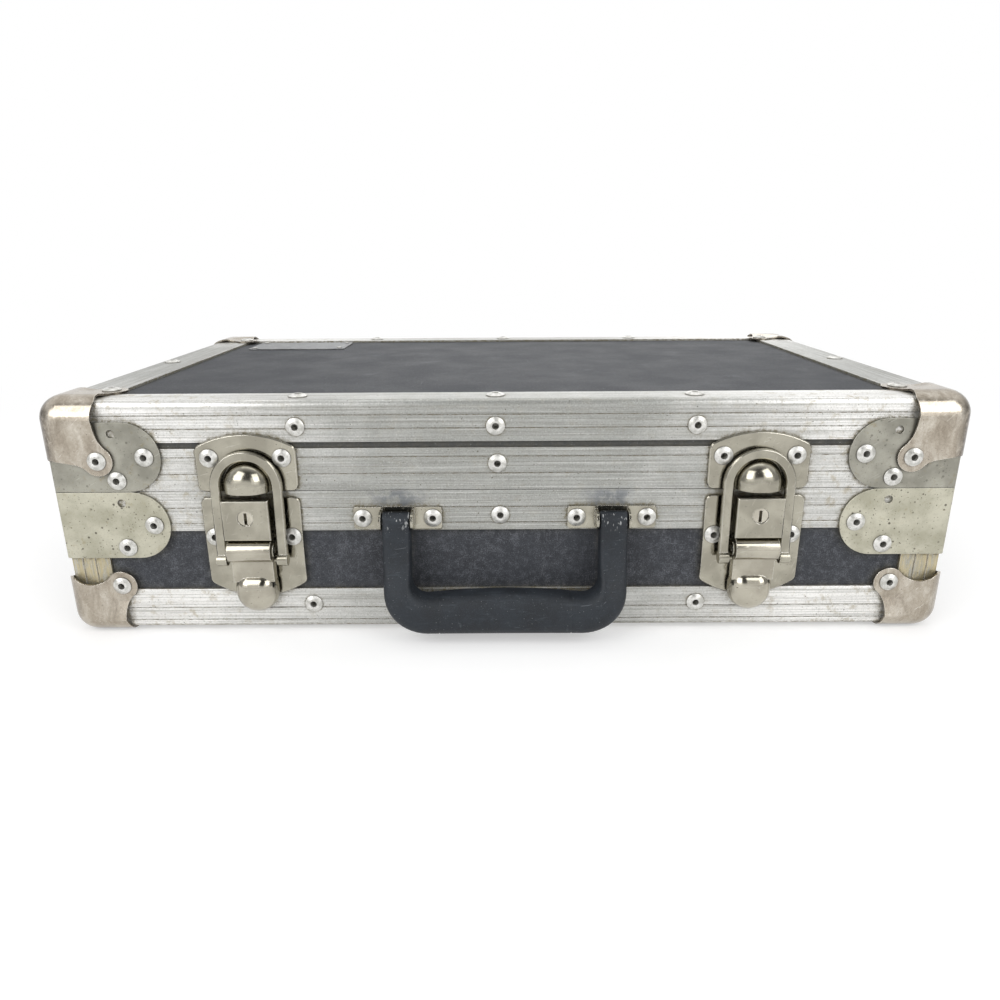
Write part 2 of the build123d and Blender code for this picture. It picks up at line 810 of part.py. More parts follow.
def lever():
    """Barrel, neck and domed thumb pad, hollow behind."""
    half = lever_neck_width / 2
    top = lever_pivot_height
    sheet = lever_sheet
    neck = slab(-half, half, -lever_neck_out, -lever_back_out, lever_neck_low, top)
    hollow_high = top - lever_barrel_radius - lever_hollow_top
    hollow_low = lever_neck_low + sheet
    hollow = slab(-half + sheet, half - sheet, -lever_neck_out + sheet, 0, hollow_low, hollow_high)
    barrel = Cylinder(lever_barrel_radius, lever_barrel_width)
    barrel = Pos(0, -lever_pivot_out, top) * Rot(Y=90) * barrel
    body = thumb_pad(0) + neck - thumb_pad(sheet) - hollow + barrel
    bore = Cylinder(lever_pin_radius + pivot_clearance, 2 * lever_barrel_width)
    body -= Pos(0, -lever_pivot_out, top) * Rot(Y=90) * bore
    eye = Cylinder(bail_pin_radius + pivot_clearance, 2 * lever_barrel_width)
    body -= Pos(0, -bail_pivot_out, bail_pivot_height) * Rot(Y=90) * eye
    out_low, out_high = bolt_outs()
    slot_half = bolt_width / 2 + bolt_side_clearance
    gap = 2 * bolt_side_clearance
    notch_low = housing_low + bolt_side_clearance - bolt_throw - gap
    notch_high = top + lever_barrel_radius
    body -= slab(-slot_half, slot_half, -out_high - gap, -out_low + gap, notch_low, notch_high)
    return body.solids().sort_by(SortBy.VOLUME)[-1]


def bail():
    """Flat band bent into a loop, with round eyes and inward pins at its ends."""
    rise = bail_arch_height - bail_pivot_height
    lean = degrees(atan2(bail_pivot_out - bail_arch_out, rise))
    length = hypot(bail_pivot_out - bail_arch_out, rise)
    outer = bail_inner_half + bail_band
    centre = length - outer
    loop = Pos(0, centre) * Circle(outer) + Pos(0, centre / 2) * Rectangle(2 * outer, centre)
    inside = Rectangle(2 * bail_inner_half, centre + 2 * outer)
    loop -= Pos(0, centre) * Circle(bail_inner_half) + Pos(0, centre / 2 - outer) * inside
    band = Pos(0, bail_thickness / 2, 0) * outward(loop, bail_thickness)
    face = band.faces().sort_by(Axis.Y)[0]
    band = chamfer(face.edges(), bail_edge_break)
    engaged = bail_inner_half - lever_neck_width / 2 + bail_pin_engagement
    for end in (-1, 1):
        eye_x = end * (bail_inner_half + bail_band / 2)
        band += Pos(eye_x, 0, 0) * Rot(Y=90) * Cylinder(bail_eye_radius, bail_band)
        pin_x = end * (bail_inner_half - engaged / 2 + cut_over / 2)
        band += Pos(pin_x, 0, 0) * Rot(Y=90) * Cylinder(bail_pin_radius, engaged + cut_over)
    return Pos(0, -bail_pivot_out, bail_pivot_height) * Rot(X=-lean) * band


# Handle


def at_front(shape):
    return Pos(0, -case_depth / 2, 0) * shape


def handle_outline():
    """Front view: a U with round lower corners and an arched window."""
    half = handle_half_width
    high = handle_pivot_height + handle_eye_radius
    outer = Pos(0, (high + handle_low) / 2) * Rectangle(2 * half, high - handle_low)
    low_corners = outer.vertices().sort_by(Axis.Y)[:2]
    outer = fillet(low_corners, handle_corner_radius)
    inner_half = half - handle_arm_width
    low = handle_window_low
    arch = ThreePointArc((-inner_half, low), (0, low + handle_window_arch), (inner_half, low))
    above = high + cut_over
    rest = Polyline((inner_half, low), (inner_half, above), (-inner_half, above), (-inner_half, low))
    window = make_face(Curve() + [arch, rest])
    window = fillet(window.vertices().sort_by(Axis.Y)[:2], handle_window_corner)
    return outer - window


def handle_side_section():
    """Side view of an arm and the grip, as distance out against height."""
    eye_back = handle_pivot_out - handle_eye_radius
    eye_front = handle_pivot_out + handle_eye_radius
    grip_top = handle_window_low + handle_window_arch
    grip_mid = (handle_low + grip_top) / 2
    spine = (handle_back_out + handle_out) / 2
    shoulder = (eye_front + handle_shoulder[0], grip_top + handle_shoulder[1])
    back = Line((eye_back, handle_pivot_height), (handle_back_out, grip_mid))
    under = Spline(
        (handle_back_out, grip_mid), (spine, handle_low), (handle_out, grip_mid),
        tangents=[(0, -1), (0, 1)],
    )
    front = Spline(
        (handle_out, grip_mid), shoulder, (eye_front, handle_pivot_height),
        tangents=[(0, 1), (0, 1)],
    )
    top = ThreePointArc(
        (eye_front, handle_pivot_height),
        (handle_pivot_out, handle_pivot_height + handle_eye_radius),
        (eye_back, handle_pivot_height),
    )
    return make_face(Curve() + [back, under, front, top])


def handle():
    front_view = outward(handle_outline(), handle_out + 2 * cut_over, -cut_over)
    plane = Plane(origin=(0, 0, 0), x_dir=(0, -1, 0), z_dir=(-1, 0, 0))
    side_view = extrude(plane * handle_side_section(), handle_half_width + cut_over, both=True)
    body = front_view & side_view
    bore = Cylinder(handle_pin_radius + pivot_clearance, 3 * handle_half_width)
    return body - Pos(0, -handle_pivot_out, handle_pivot_height) * Rot(Y=90) * bore


def handle_ears():
    """Inner and outer faces of each bracket's two ears, from the case's centre line."""
    arm_inner = handle_half_width - handle_arm_width
    inner = arm_inner - bracket_ear_gap
    outer = handle_half_width + bracket_ear_gap
    return (inner - bracket_sheet, inner), (outer, outer + bracket_sheet)


def handle_pin(end):
    ears = handle_ears()
    low = ears[0][0]
    high = ears[1][1]
    pin = Cylinder(handle_pin_radius, high - low)
    return Pos(end * (low + high) / 2, -handle_pivot_out, handle_pivot_height) * Rot(Y=90) * pin


def handle_bracket(end):
    """Plate with two ears that hold one arm's pin."""
    low, high = sorted((end * bracket_inner, end * bracket_outer))
    form = RectangleRounded(high - low, bracket_height, bracket_corner_radius)
    plate = outward(Pos((low + high) / 2, handle_pivot_height) * form, bracket_sheet)
    ear_low = handle_pivot_height - bracket_ear_radius
    ear_high = handle_pivot_height + bracket_ear_radius
    for near, away in handle_ears():
        x = end * (near + away) / 2
        ear = Pos(x, -handle_pivot_out, handle_pivot_height) * Rot(Y=90)
        plate += ear * Cylinder(bracket_ear_radius, bracket_sheet)
        left = x - bracket_sheet / 2
        back = -bracket_sheet / 2
        plate += slab(left, left + bracket_sheet, -handle_pivot_out, back, ear_low, ear_high)
    recess_ends = sorted((end * handle_ears()[0][1], end * handle_ears()[1][0]))
    recess_back = -bracket_sheet * (1 - bracket_recess_share)
    recess = slab(*recess_ends, -2 * bracket_sheet, recess_back, 0, case_height)
    return plate - recess - handle_pin(end)


# Hinges, drawn with X across, Y = 0 on the rear face, +Y outward and Z up


def at_hinge(x, shape):
    return Pos(x, case_depth / 2, 0) * shape


def knuckle_spans(on_lid):
    """Left and right ends of the knuckles that belong to one leaf."""
    pitch = hinge_leaf_width / hinge_knuckle_count
    gap = hinge_knuckle_gap / 2
    low = -hinge_leaf_width / 2
    first = 1 if on_lid else 0
    turns = range(first, hinge_knuckle_count, 2)
    return [(low + i * pitch + gap, low + (i + 1) * pitch - gap) for i in turns]


def rod(x0, x1, radius):
    """Round bar on the hinge axis between two places."""
    return Pos((x0 + x1) / 2, hinge_axis_out, parting) * Rot(Y=90) * Cylinder(radius, x1 - x0)


def heel_angle():
    """Angle from upright, toward the rear, at which the closed stop heel stands."""
    leaf_distance = hinge_axis_out - hinge_leaf_sheet
    half = hinge_heel_sheet / 2
    past = asin(leaf_distance / hypot(hinge_heel_length, half)) - atan2(half, hinge_heel_length)
    return 180 + degrees(past) - lid_open_angle - hinge_heel_spare


def hinge_leaf(on_lid):
    half = hinge_leaf_width / 2
    if on_lid:
        plate = slab(-half, half, 0, hinge_leaf_sheet, lid_low, parting + hinge_leaf_height)
    else:
        plate = slab(-half, half, 0, hinge_leaf_sheet, parting - hinge_leaf_height, base_height)
    outer_end = parting + (hinge_leaf_height if on_lid else -hinge_leaf_height)
    upright = plate.edges().filter_by(Axis.Y)
    corners = [upright.sort_by_distance((end * half, 0, outer_end))[0] for end in (-1, 1)]
    plate = fillet(corners, hinge_corner_radius)
    clear = hinge_knuckle_radius + hinge_swing_clearance
    gap = hinge_knuckle_gap
    for x0, x1 in knuckle_spans(not on_lid):
        plate -= rod(x0 - gap, x1 + gap, clear)
    for x0, x1 in knuckle_spans(on_lid):
        plate += rod(x0, x1, hinge_knuckle_radius)
        if on_lid:
            half_heel = hinge_heel_sheet / 2
            heel = slab(x0, x1, -half_heel, half_heel, 0, hinge_heel_length)
            plate += Pos(0, hinge_axis_out, parting) * Rot(X=-heel_angle()) * heel
    bore = hinge_pin_radius + (pivot_clearance if on_lid else 0)
    return plate - rod(-half - cut_over, half + cut_over, bore)


def hinge_pin():
    half = hinge_leaf_width / 2
    return rod(-half, half, hinge_pin_radius)


# Label plate and linings


def label_centre():
    x = -case_width / 2 + label_left_inset + label_length / 2
    y = case_depth / 2 - label_rear_inset - label_depth / 2
    return x, y


def label_rivets():
    x, y = label_centre()
    across = label_length / 2 - label_rivet_inset
    along = label_depth / 2 - label_rivet_inset
    base = case_height - metal + label_sheet
    head = Cylinder(label_rivet_radius, label_rivet_height, align=(Align.CENTER, Align.CENTER, Align.MIN))
    return [Pos(x + i * across, y + j * along, base) * head for i in (-1, 1) for j in (-1, 1)]


def label_plate():
    x, y = label_centre()
    sketch = Pos(x, y) * RectangleRounded(label_length, label_depth, label_corner_radius)
    return Pos(0, 0, case_height - metal) * extrude(sketch, label_sheet)


def lining(low):
    x = case_width / 2 - mouth_inner_face - soft_clearance
    y = case_depth / 2 - mouth_inner_face - soft_clearance
    return slab(-x, x, -y, y, low, low + lining_thickness)


def main():
    os.makedirs("parts", exist_ok=True)
    base_sites = base_rivet_sites()
    lid_sites = lid_rivet_sites()
    base_relief = four_ways(at_base_corner(ball_relief(base_ball_reach)))
    lid_relief = four_ways(at_lid_corner(ball_relief(lid_ball_reach)))

    for name, solid in boards().items():
        on_base = name.startswith("base")
        solid -= base_relief if on_base else lid_relief
        save(name, drilled(solid, base_sites if on_base else lid_sites))

    for side, solid in edging(lambda side: base_angle_section(flat_leg_of(side))).items():
        save(f"base_{side}_angle", drilled(solid - base_relief, base_sites))
    for side, solid in edging(lambda side: lid_angle_section(flat_leg_of(side))).items():
        save(f"lid_{side}_angle", drilled(solid - lid_relief, lid_sites))
    for side, solid in edging(lambda side: base_mouth_section()).items():
        save(f"base_{side}_mouth", drilled(solid, base_sites))
    for side, solid in edging(lambda side: lid_mouth_section()).items():
        save(f"lid_{side}_mouth", drilled(solid - lid_relief, lid_sites))

    post = drilled(corner_post() - base_relief[0], base_sites)
    save("base_corner_posts", four_ways(post))
    base_brace = drilled(corner_brace(base_brace_low), base_sites)
    save("base_corner_braces", four_ways(base_brace))
    lid_brace = drilled(corner_brace(lid_low) - lid_relief[0], lid_sites)
    save("lid_corner_braces", four_ways(lid_brace))
    base_ball = at_base_corner(ball_corner(base_ball_lobe, base_ball_reach, 0.0))
    save("base_ball_corners", four_ways(drilled(base_ball, base_sites)))
    lid_ball = at_lid_corner(ball_corner(lid_ball_lobe, lid_ball_reach, brace_sheet))
    save("lid_ball_corners", four_ways(drilled(lid_ball, lid_sites)))
    save("base_rivets", [rivet(site) for site in base_sites])
    save("lid_rivets", [rivet(site) for site in lid_sites] + label_rivets())

    for name, x in latch_places.items():
        save(f"{name}_catch_plate", drilled(at_latch(x, catch_plate()), lid_sites))
        save(f"{name}_latch_plate", drilled(at_latch(x, latch_plate()), base_sites))
        save(f"{name}_lock_housing", at_latch(x, lock_housing()))
        save(f"{name}_lock_bolt", at_latch(x, lock_bolt()))
        save(f"{name}_key_cylinder", at_latch(x, key_cylinder()))
        save(f"{name}_lever", at_latch(x, lever()))
        save(f"{name}_bail", at_latch(x, bail()))
    save("lever_pins", [at_latch(x, lever_pin()) for x in latch_places.values()])

    save("handle", at_front(handle()))
    for name, end in (("left", -1), ("right", 1)):
        save(f"{name}_handle_bracket", drilled(at_front(handle_bracket(end)), base_sites))
    save("handle_pins", [at_front(handle_pin(end)) for end in (-1, 1)])

    for name, x in (("left", -hinge_offset), ("right", hinge_offset)):
        save(f"{name}_hinge_base_leaf", drilled(at_hinge(x, hinge_leaf(False)), base_sites))
        save(f"{name}_hinge_lid_leaf", drilled(at_hinge(x, hinge_leaf(True)), lid_sites))
    save("hinge_pins", [at_hinge(x, hinge_pin()) for x in (-hinge_offset, hinge_offset)])

    save("label_plate", label_plate())
    save("base_lining", lining(inner_face + soft_clearance))
    save("lid_lining", lining(case_height - inner_face - soft_clearance - lining_thickness))


main()
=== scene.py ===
import random
from math import cos, pi, sin

import bmesh
import bpy
from mathutils import Matrix, Vector


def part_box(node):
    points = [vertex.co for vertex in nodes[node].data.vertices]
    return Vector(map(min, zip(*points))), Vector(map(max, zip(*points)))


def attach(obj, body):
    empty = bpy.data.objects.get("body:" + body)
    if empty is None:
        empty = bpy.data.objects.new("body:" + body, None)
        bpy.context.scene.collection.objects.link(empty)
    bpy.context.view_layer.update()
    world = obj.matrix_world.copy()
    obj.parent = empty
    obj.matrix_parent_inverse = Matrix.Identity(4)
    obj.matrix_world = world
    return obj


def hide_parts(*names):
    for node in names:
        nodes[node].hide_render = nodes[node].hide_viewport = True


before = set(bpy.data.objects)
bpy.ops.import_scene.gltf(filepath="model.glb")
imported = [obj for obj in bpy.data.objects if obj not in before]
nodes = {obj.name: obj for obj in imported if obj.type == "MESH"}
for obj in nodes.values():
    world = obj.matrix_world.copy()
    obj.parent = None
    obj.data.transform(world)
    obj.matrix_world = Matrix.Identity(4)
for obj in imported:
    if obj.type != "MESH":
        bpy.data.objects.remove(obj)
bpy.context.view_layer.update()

# Sizes in millimetres, in the row frame: X to the right, Y to the rear, Z up, the ground at 0
MM = 0.001
SHIFT_Y = 5.2
SHIFT_Z = 2.4
FRONT = -134.0 + SHIFT_Y
PARTING = 76.15 + SHIFT_Z
TOP = 122.0 + SHIFT_Z


# Node graphs

# How depth is folded into the two directions of flat dots, so that no flat face loses one of them
DEPTH_ACROSS = 0.6
DEPTH_UPWARD = 0.8


class Graph:
    """A material under construction. Sockets and plain numbers are both accepted as inputs."""

    def __init__(self, name):
        self.material = bpy.data.materials.new(name)
        self.material.use_nodes = True
        self.tree = self.material.node_tree
        self.tree.nodes.clear()
        self.out = self.tree.nodes.new("ShaderNodeOutputMaterial")
        self.coords = None

    def put(self, socket, value):
        if isinstance(value, bpy.types.NodeSocket):
            self.tree.links.new(value, socket)
        elif value is not None:
            if hasattr(socket.default_value, "__len__"):
                places = len(socket.default_value)
                if isinstance(value, (int, float)):
                    value = [value] * places
                if len(value) == places - 1:
                    value = (*value, 1.0)
            socket.default_value = value

    def node(self, kind, inputs=None, **settings):
        made = self.tree.nodes.new(kind)
        for key, value in settings.items():
            setattr(made, key, value)
        for key, value in (inputs or {}).items():
            self.put(made.inputs[key], value)
        return made

    def coord(self, kind="Object"):
        if self.coords is None:
            self.coords = self.node("ShaderNodeTexCoord")
        return self.coords.outputs[kind]

    def position(self):
        """Place on the piece in millimetres."""
        return self.vector("MULTIPLY", self.coord(), (1 / MM, 1 / MM, 1 / MM))

    def vector(self, operation, a, b=None):
        made = self.node("ShaderNodeVectorMath", {0: a}, operation=operation)
        if b is not None:
            self.put(made.inputs[1], b)
        single = operation in ("LENGTH", "DOT_PRODUCT", "DISTANCE")
        return made.outputs["Value" if single else "Vector"]

    def math(self, operation, a, b=None, c=None, clamp=False):
        made = self.node("ShaderNodeMath", {0: a}, operation=operation, use_clamp=clamp)
        if b is not None:
            self.put(made.inputs[1], b)
        if c is not None:
            self.put(made.inputs[2], c)
        return made.outputs[0]

    def mul(self, a, b):
        return self.math("MULTIPLY", a, b)

    def add(self, a, b):
        return self.math("ADD", a, b)

    def sub(self, a, b):
        return self.math("SUBTRACT", a, b)

    def top(self, a, b):
        return self.math("MAXIMUM", a, b)

    def invert(self, a):
        return self.math("SUBTRACT", 1.0, a)

    def axes(self, where):
        made = self.node("ShaderNodeSeparateXYZ", {0: where})
        return made.outputs[0], made.outputs[1], made.outputs[2]

    def span(self, value, start, end, low=0.0, high=1.0, smooth=True):
        """Value carried from the span start..end to low..high, held beyond its ends."""
        made = self.node("ShaderNodeMapRange", {0: value, 1: start, 2: end, 3: low, 4: high})
        made.interpolation_type = "SMOOTHSTEP" if smooth else "LINEAR"
        made.clamp = True
        return made.outputs[0]

    def noise(self, scale, detail=3.0, rough=0.55, where=None, stretch=None, distortion=0.0,
              shift=None):
        """Noise whose features are about 1/scale millimetres across."""
        where = where or self.position()
        if stretch:
            where = self.vector("MULTIPLY", where, stretch)
        if shift:
            where = self.vector("ADD", where, (shift, shift * 1.7, -shift))
        made = self.node("ShaderNodeTexNoise", {
            "Vector": where, "Scale": scale, "Detail": detail, "Roughness": rough,
            "Distortion": distortion,
        })
        return made.outputs[0]

    def cells(self, scale, where=None, feature="F1", shift=None, stretch=None):
        where = where or self.position()
        if stretch:
            where = self.vector("MULTIPLY", where, stretch)
        if shift:
            where = self.vector("ADD", where, (shift, shift * 1.3, -shift))
        made = self.node("ShaderNodeTexVoronoi", {"Vector": where, "Scale": scale}, feature=feature)
        return made.outputs[0]

    def specks(self, scale, size, softness=0.4, share=0.5, shift=0.0):
        """Round dots on any flat face: at most one in each cell of 1/scale millimetres."""
        x, y, z = self.axes(self.position())
        across = self.add(x, self.add(self.mul(y, DEPTH_ACROSS), shift))
        upward = self.sub(self.add(z, self.mul(y, DEPTH_UPWARD)), shift)
        where = self.node("ShaderNodeCombineXYZ", {0: across, 1: upward}).outputs[0]
        made = self.node("ShaderNodeTexVoronoi",
                         {"Vector": where, "Scale": scale, "Randomness": 1.0},
                         feature="F1", voronoi_dimensions="2D")
        pick = self.node("ShaderNodeSeparateColor", {0: made.outputs["Color"]}).outputs[0]
        radius = self.mul(self.span(pick, 1.0 - share, 1.0, smooth=False), size)
        away = self.sub(made.outputs["Distance"], radius)
        return self.span(away, -softness * size, 0.0, low=1.0, high=0.0)

    def ramp(self, value, *stops):
        made = self.node("ShaderNodeValToRGB", {0: value})
        points = made.color_ramp.elements
        while len(points) < len(stops):
            points.new(0.5)
        for point, (place, colour) in zip(points, stops):
            point.position = place
            point.color = (*colour, 1.0)
        return made.outputs[0]

    def mix(self, share, a, b, kind="MIX"):
        made = self.node("ShaderNodeMix", data_type="RGBA", blend_type=kind)
        self.put(made.inputs[0], share)
        self.put(made.inputs[6], a)
        self.put(made.inputs[7], b)
        return made.outputs[2]

    def over(self, tone, colour, share, most=None):
        """Tone with a hex colour laid over it, by a share that may be scaled to a largest one."""
        if most is not None:
            share = self.mul(share, most)
        return self.mix(share, tone, rgb(colour))

    def crevice(self, distance, start, end, samples=4):
        """1 in corners and gaps, 0 on open faces."""
        made = self.node("ShaderNodeAmbientOcclusion", {"Distance": distance * MM}, samples=samples)
        return self.span(made.outputs["AO"], start, end, low=1.0, high=0.0)

    def bump(self, height, distance, strength=1.0, normal=None):
        made = self.node("ShaderNodeBump", {
            "Height": height, "Distance": distance * MM, "Strength": strength,
        })
        if normal is not None:
            self.put(made.inputs["Normal"], normal)
        return made.outputs[0]

    def finish(self, colour, rough, metallic=0.0, normal=None, **extra):
        shader = self.node("ShaderNodeBsdfPrincipled")
        self.put(shader.inputs["Base Color"], colour)
        self.put(shader.inputs["Roughness"], rough)
        self.put(shader.inputs["Metallic"], metallic)
        if normal is not None:
            self.put(shader.inputs["Normal"], normal)
        for key, value in extra.items():
            self.put(shader.inputs[key.replace("_", " ")], value)
        self.tree.links.new(shader.outputs[0], self.out.inputs["Surface"])
        return self.material


def rgb(text):
    """Linear colour of a plain hex colour."""
    parts = [int(text[i:i + 2], 16) / 255 for i in (0, 2, 4)]
    return tuple(p / 12.92 if p <= 0.04045 else ((p + 0.055) / 1.055) ** 2.4 for p in parts)


# Camera, from the photograph's fitted view

CAMERA_AT = Vector((-1.256, -500.71 + SHIFT_Y, 191.70 + SHIFT_Z)) * MM
CAMERA_PITCH = 0.3190
CAMERA_YAW = 0.00292
CAMERA_ROLL = -0.00633
SENSOR = 36.0
FOCAL_SHARE = 0.7655
NEAR_CLIP = 0.01


def make_camera():
    turn = Matrix.Rotation(CAMERA_YAW, 3, "Z")
    forward = turn @ Vector((0, cos(CAMERA_PITCH), -sin(CAMERA_PITCH)))
    right = turn @ Vector((1, 0, 0))
    up = right.cross(forward)
    across = cos(CAMERA_ROLL) * right + sin(CAMERA_ROLL) * up
    upright = -sin(CAMERA_ROLL) * right + cos(CAMERA_ROLL) * up
    data = bpy.data.cameras.new("camera")
    data.sensor_width = SENSOR
    data.lens = SENSOR * FOCAL_SHARE
    data.clip_start = NEAR_CLIP
    camera = bpy.data.objects.new("camera", data)
    bpy.context.scene.collection.objects.link(camera)
    basis = Matrix((across, upright, -forward)).transposed()
    camera.matrix_world = Matrix.Translation(CAMERA_AT) @ basis.to_4x4()
    bpy.context.scene.camera = camera


make_camera()


# Studio

WORLD_LIGHT = 0.5
DARK_WALL = 0.1
SIDE_WALL = 0.5
WINDOW_LIGHT = 1.5

# Reflected room: where each mask starts and is full, as a component of the unit direction
WALL_AHEAD = (0.1, -0.55)
WALL_ABOVE = (0.12, 0.4)
SIDES_ASIDE = (0.8, 0.95)
SIDES_BELOW = (0.55, 0.25)
WINDOW_INNER = (0.26, 0.34)
WINDOW_OUTER = (0.84, 0.76)
WINDOW_AHEAD = (-0.1, -0.2)
WINDOW_SILL = (0.0, 0.08)
WINDOW_HEAD = (0.62, 0.5)

# Place, aim and size in metres, and power in watts
LAMP_AIM = (0, 0, 0.06)
LAMPS = {
    "key_left": ((-0.95, -1.15, 1.05), LAMP_AIM, (1.0, 1.2), 12.0),
    "key_right": ((1.0, -1.1, 1.0), LAMP_AIM, (0.9, 1.1), 10.0),
    "top_soft": ((0, 0.3, 1.7), (0, 0, 0), (1.6, 1.2), 5.0),
    "back_soft": ((0.2, 1.7, 0.9), (0, 0, 0.1), (1.4, 0.8), 4.0),
}

FLOOR_REACH = 6.0
FLOOR_SHADE = 0.66
FLOOR_GLOW = 0.42
FLOOR_FADE = (0.42, 0.95)


def lamp(name, at, aim, size, power):
    data = bpy.data.lights.new(name, "AREA")
    data.shape = "RECTANGLE"
    data.size, data.size_y = size
    data.energy = power
    made = bpy.data.objects.new(name, data)
    bpy.context.scene.collection.objects.link(made)
    made.location = at
    made.rotation_euler = (Vector(aim) - Vector(at)).to_track_quat("-Z", "Y").to_euler()


def make_world():
    """White to the camera and softer to the object.

    Reflections show a dark room in front with a window at each side, and dimmer side walls.
    """
    world = bpy.data.worlds.new("world")
    bpy.context.scene.world = world
    world.use_nodes = True
    tree = world.node_tree
    tree.nodes.clear()

    def math(operation, a, b):
        made = tree.nodes.new("ShaderNodeMath")
        made.operation = operation
        for socket, value in zip(made.inputs, (a, b)):
            if isinstance(value, bpy.types.NodeSocket):
                tree.links.new(value, socket)
            else:
                socket.default_value = value
        return made.outputs[0]

    def span(value, reach, full=1.0):
        made = tree.nodes.new("ShaderNodeMapRange")
        made.interpolation_type = "SMOOTHSTEP"
        tree.links.new(value, made.inputs[0])
        for socket, number in zip(made.inputs[1:5], (*reach, 0.0, full)):
            socket.default_value = number
        return made.outputs[0]

    path = tree.nodes.new("ShaderNodeLightPath")
    glossy = math("MAXIMUM", path.outputs["Is Glossy Ray"], path.outputs["Is Transmission Ray"])
    place = tree.nodes.new("ShaderNodeTexCoord")
    axes = tree.nodes.new("ShaderNodeSeparateXYZ")
    tree.links.new(place.outputs["Generated"], axes.inputs[0])
    sideways, depth, height = axes.outputs
    aside = math("ABSOLUTE", sideways, 0.0)
    wall = math("MULTIPLY", span(depth, WALL_AHEAD), span(height, WALL_ABOVE))
    wall = math("MULTIPLY", wall, 1.0 - DARK_WALL)
    sides = span(aside, SIDES_ASIDE, 1.0 - SIDE_WALL)
    sides = math("MULTIPLY", sides, span(height, SIDES_BELOW))
    window = math("MULTIPLY", span(aside, WINDOW_INNER), span(aside, WINDOW_OUTER))
    window = math("MULTIPLY", window, span(depth, WINDOW_AHEAD, WINDOW_LIGHT))
    window = math("MULTIPLY", window, span(height, WINDOW_SILL))
    window = math("MULTIPLY", window, span(height, WINDOW_HEAD))
    room = math("SUBTRACT", 1.0, math("MAXIMUM", wall, sides))
    reflected = math("MULTIPLY", glossy, math("MAXIMUM", room, window))
    shown = math("MAXIMUM", path.outputs["Is Camera Ray"], reflected)
    unseen = math("SUBTRACT", 1.0, math("MAXIMUM", path.outputs["Is Camera Ray"], glossy))
    back = tree.nodes.new("ShaderNodeBackground")
    back.inputs["Color"].default_value = (1.0, 1.0, 1.0, 1.0)
    tree.links.new(math("ADD", shown, math("MULTIPLY", unseen, WORLD_LIGHT)),
                   back.inputs["Strength"])
    out = tree.nodes.new("ShaderNodeOutputWorld")
    tree.links.new(back.outputs[0], out.inputs["Surface"])


def make_floor():
    """Pale floor that keeps the shadow near the case and is white further away."""
    mesh = bpy.data.meshes.new("floor")
    r = FLOOR_REACH
    corners = [(-r, -r, 0), (r, -r, 0), (r, r, 0), (-r, r, 0)]
    mesh.from_pydata(corners, [], [(0, 1, 2, 3)])
    floor = bpy.data.objects.new("floor", mesh)
    bpy.context.scene.collection.objects.link(floor)
    g = Graph("floor")
    path = g.node("ShaderNodeLightPath")
    seen = g.top(path.outputs["Is Camera Ray"], path.outputs["Is Glossy Ray"])
    seen = g.top(seen, path.outputs["Is Transmission Ray"])
    away = g.span(g.vector("LENGTH", g.coord()), *FLOOR_FADE)
    lit = g.mix(g.mul(seen, away), (FLOOR_SHADE, FLOOR_SHADE, FLOOR_SHADE, 1.0),
                (0.0, 0.0, 0.0, 1.0))
    diffuse = g.node("ShaderNodeBsdfDiffuse", {"Color": lit})
    strength = g.mul(seen, g.span(away, 0.0, 1.0, low=FLOOR_GLOW, high=1.0, smooth=False))
    glow = g.node("ShaderNodeEmission", {"Color": (1, 1, 1, 1), "Strength": strength})
    both = g.node("ShaderNodeAddShader")
    g.tree.links.new(diffuse.outputs[0], both.inputs[0])
    g.tree.links.new(glow.outputs[0], both.inputs[1])
    g.tree.links.new(both.outputs[0], g.out.inputs["Surface"])
    mesh.materials.append(g.material)


def make_studio():
    for name, settings in LAMPS.items():
        lamp(name, *settings)
    make_world()
    make_floor()
    bpy.context.scene.view_settings.view_transform = "Standard"


make_studio()


# Parts of materials


def bevel_and_highlight(g, radius, start=0.03, end=0.22):
    """Normal with edges rounded to a radius in millimetres, and a mask that is 1 on those edges,
    where a highlight is painted.
    """
    bevel = g.node("ShaderNodeBevel", {"Radius": radius * MM}, samples=4).outputs[0]
    geometry = g.node("ShaderNodeNewGeometry")
    bend = g.invert(g.vector("DOT_PRODUCT", bevel, geometry.outputs["Normal"]))
    return bevel, g.span(bend, start, end)


def gate(g, value, low, high, soft):
    """1 between two limits, falling off over a soft width."""
    rising = g.span(value, low - soft, low + soft)
    return g.mul(rising, g.span(value, high - soft, high + soft, low=1.0, high=0.0))


def size_of(g, value):
    return g.math("ABSOLUTE", value)


def scratches(g, along, across, cut=0.72, width=0.05, shift=0.0, turn=0.0):
    """Thin straight lines a few millimetres long, kept where a stretched noise peaks."""
    where = g.position()
    if turn:
        turned = g.node("ShaderNodeVectorRotate", {"Vector": where, "Angle": turn},
                        rotation_type="Y_AXIS")
        where = turned.outputs[0]
    lines = g.noise(1.0, detail=1.0, rough=0.5, where=where, stretch=(along, across, across),
                    shift=shift)
    return g.span(lines, cut, cut + width)


# Places in millimetres where the looks change along the case
BASE_ANGLE_TOP = (30.0, 24.0)
LID_ANGLE_LOW = (98.0, 103.0)
ARM_SPAN = (42.0, 66.0)
RUB_HEIGHTS = (60.0, 78.5)
GRIP_HEIGHTS = (34.0, 12.0)
ARM_TOP_HEIGHTS = (59.0, 65.0)


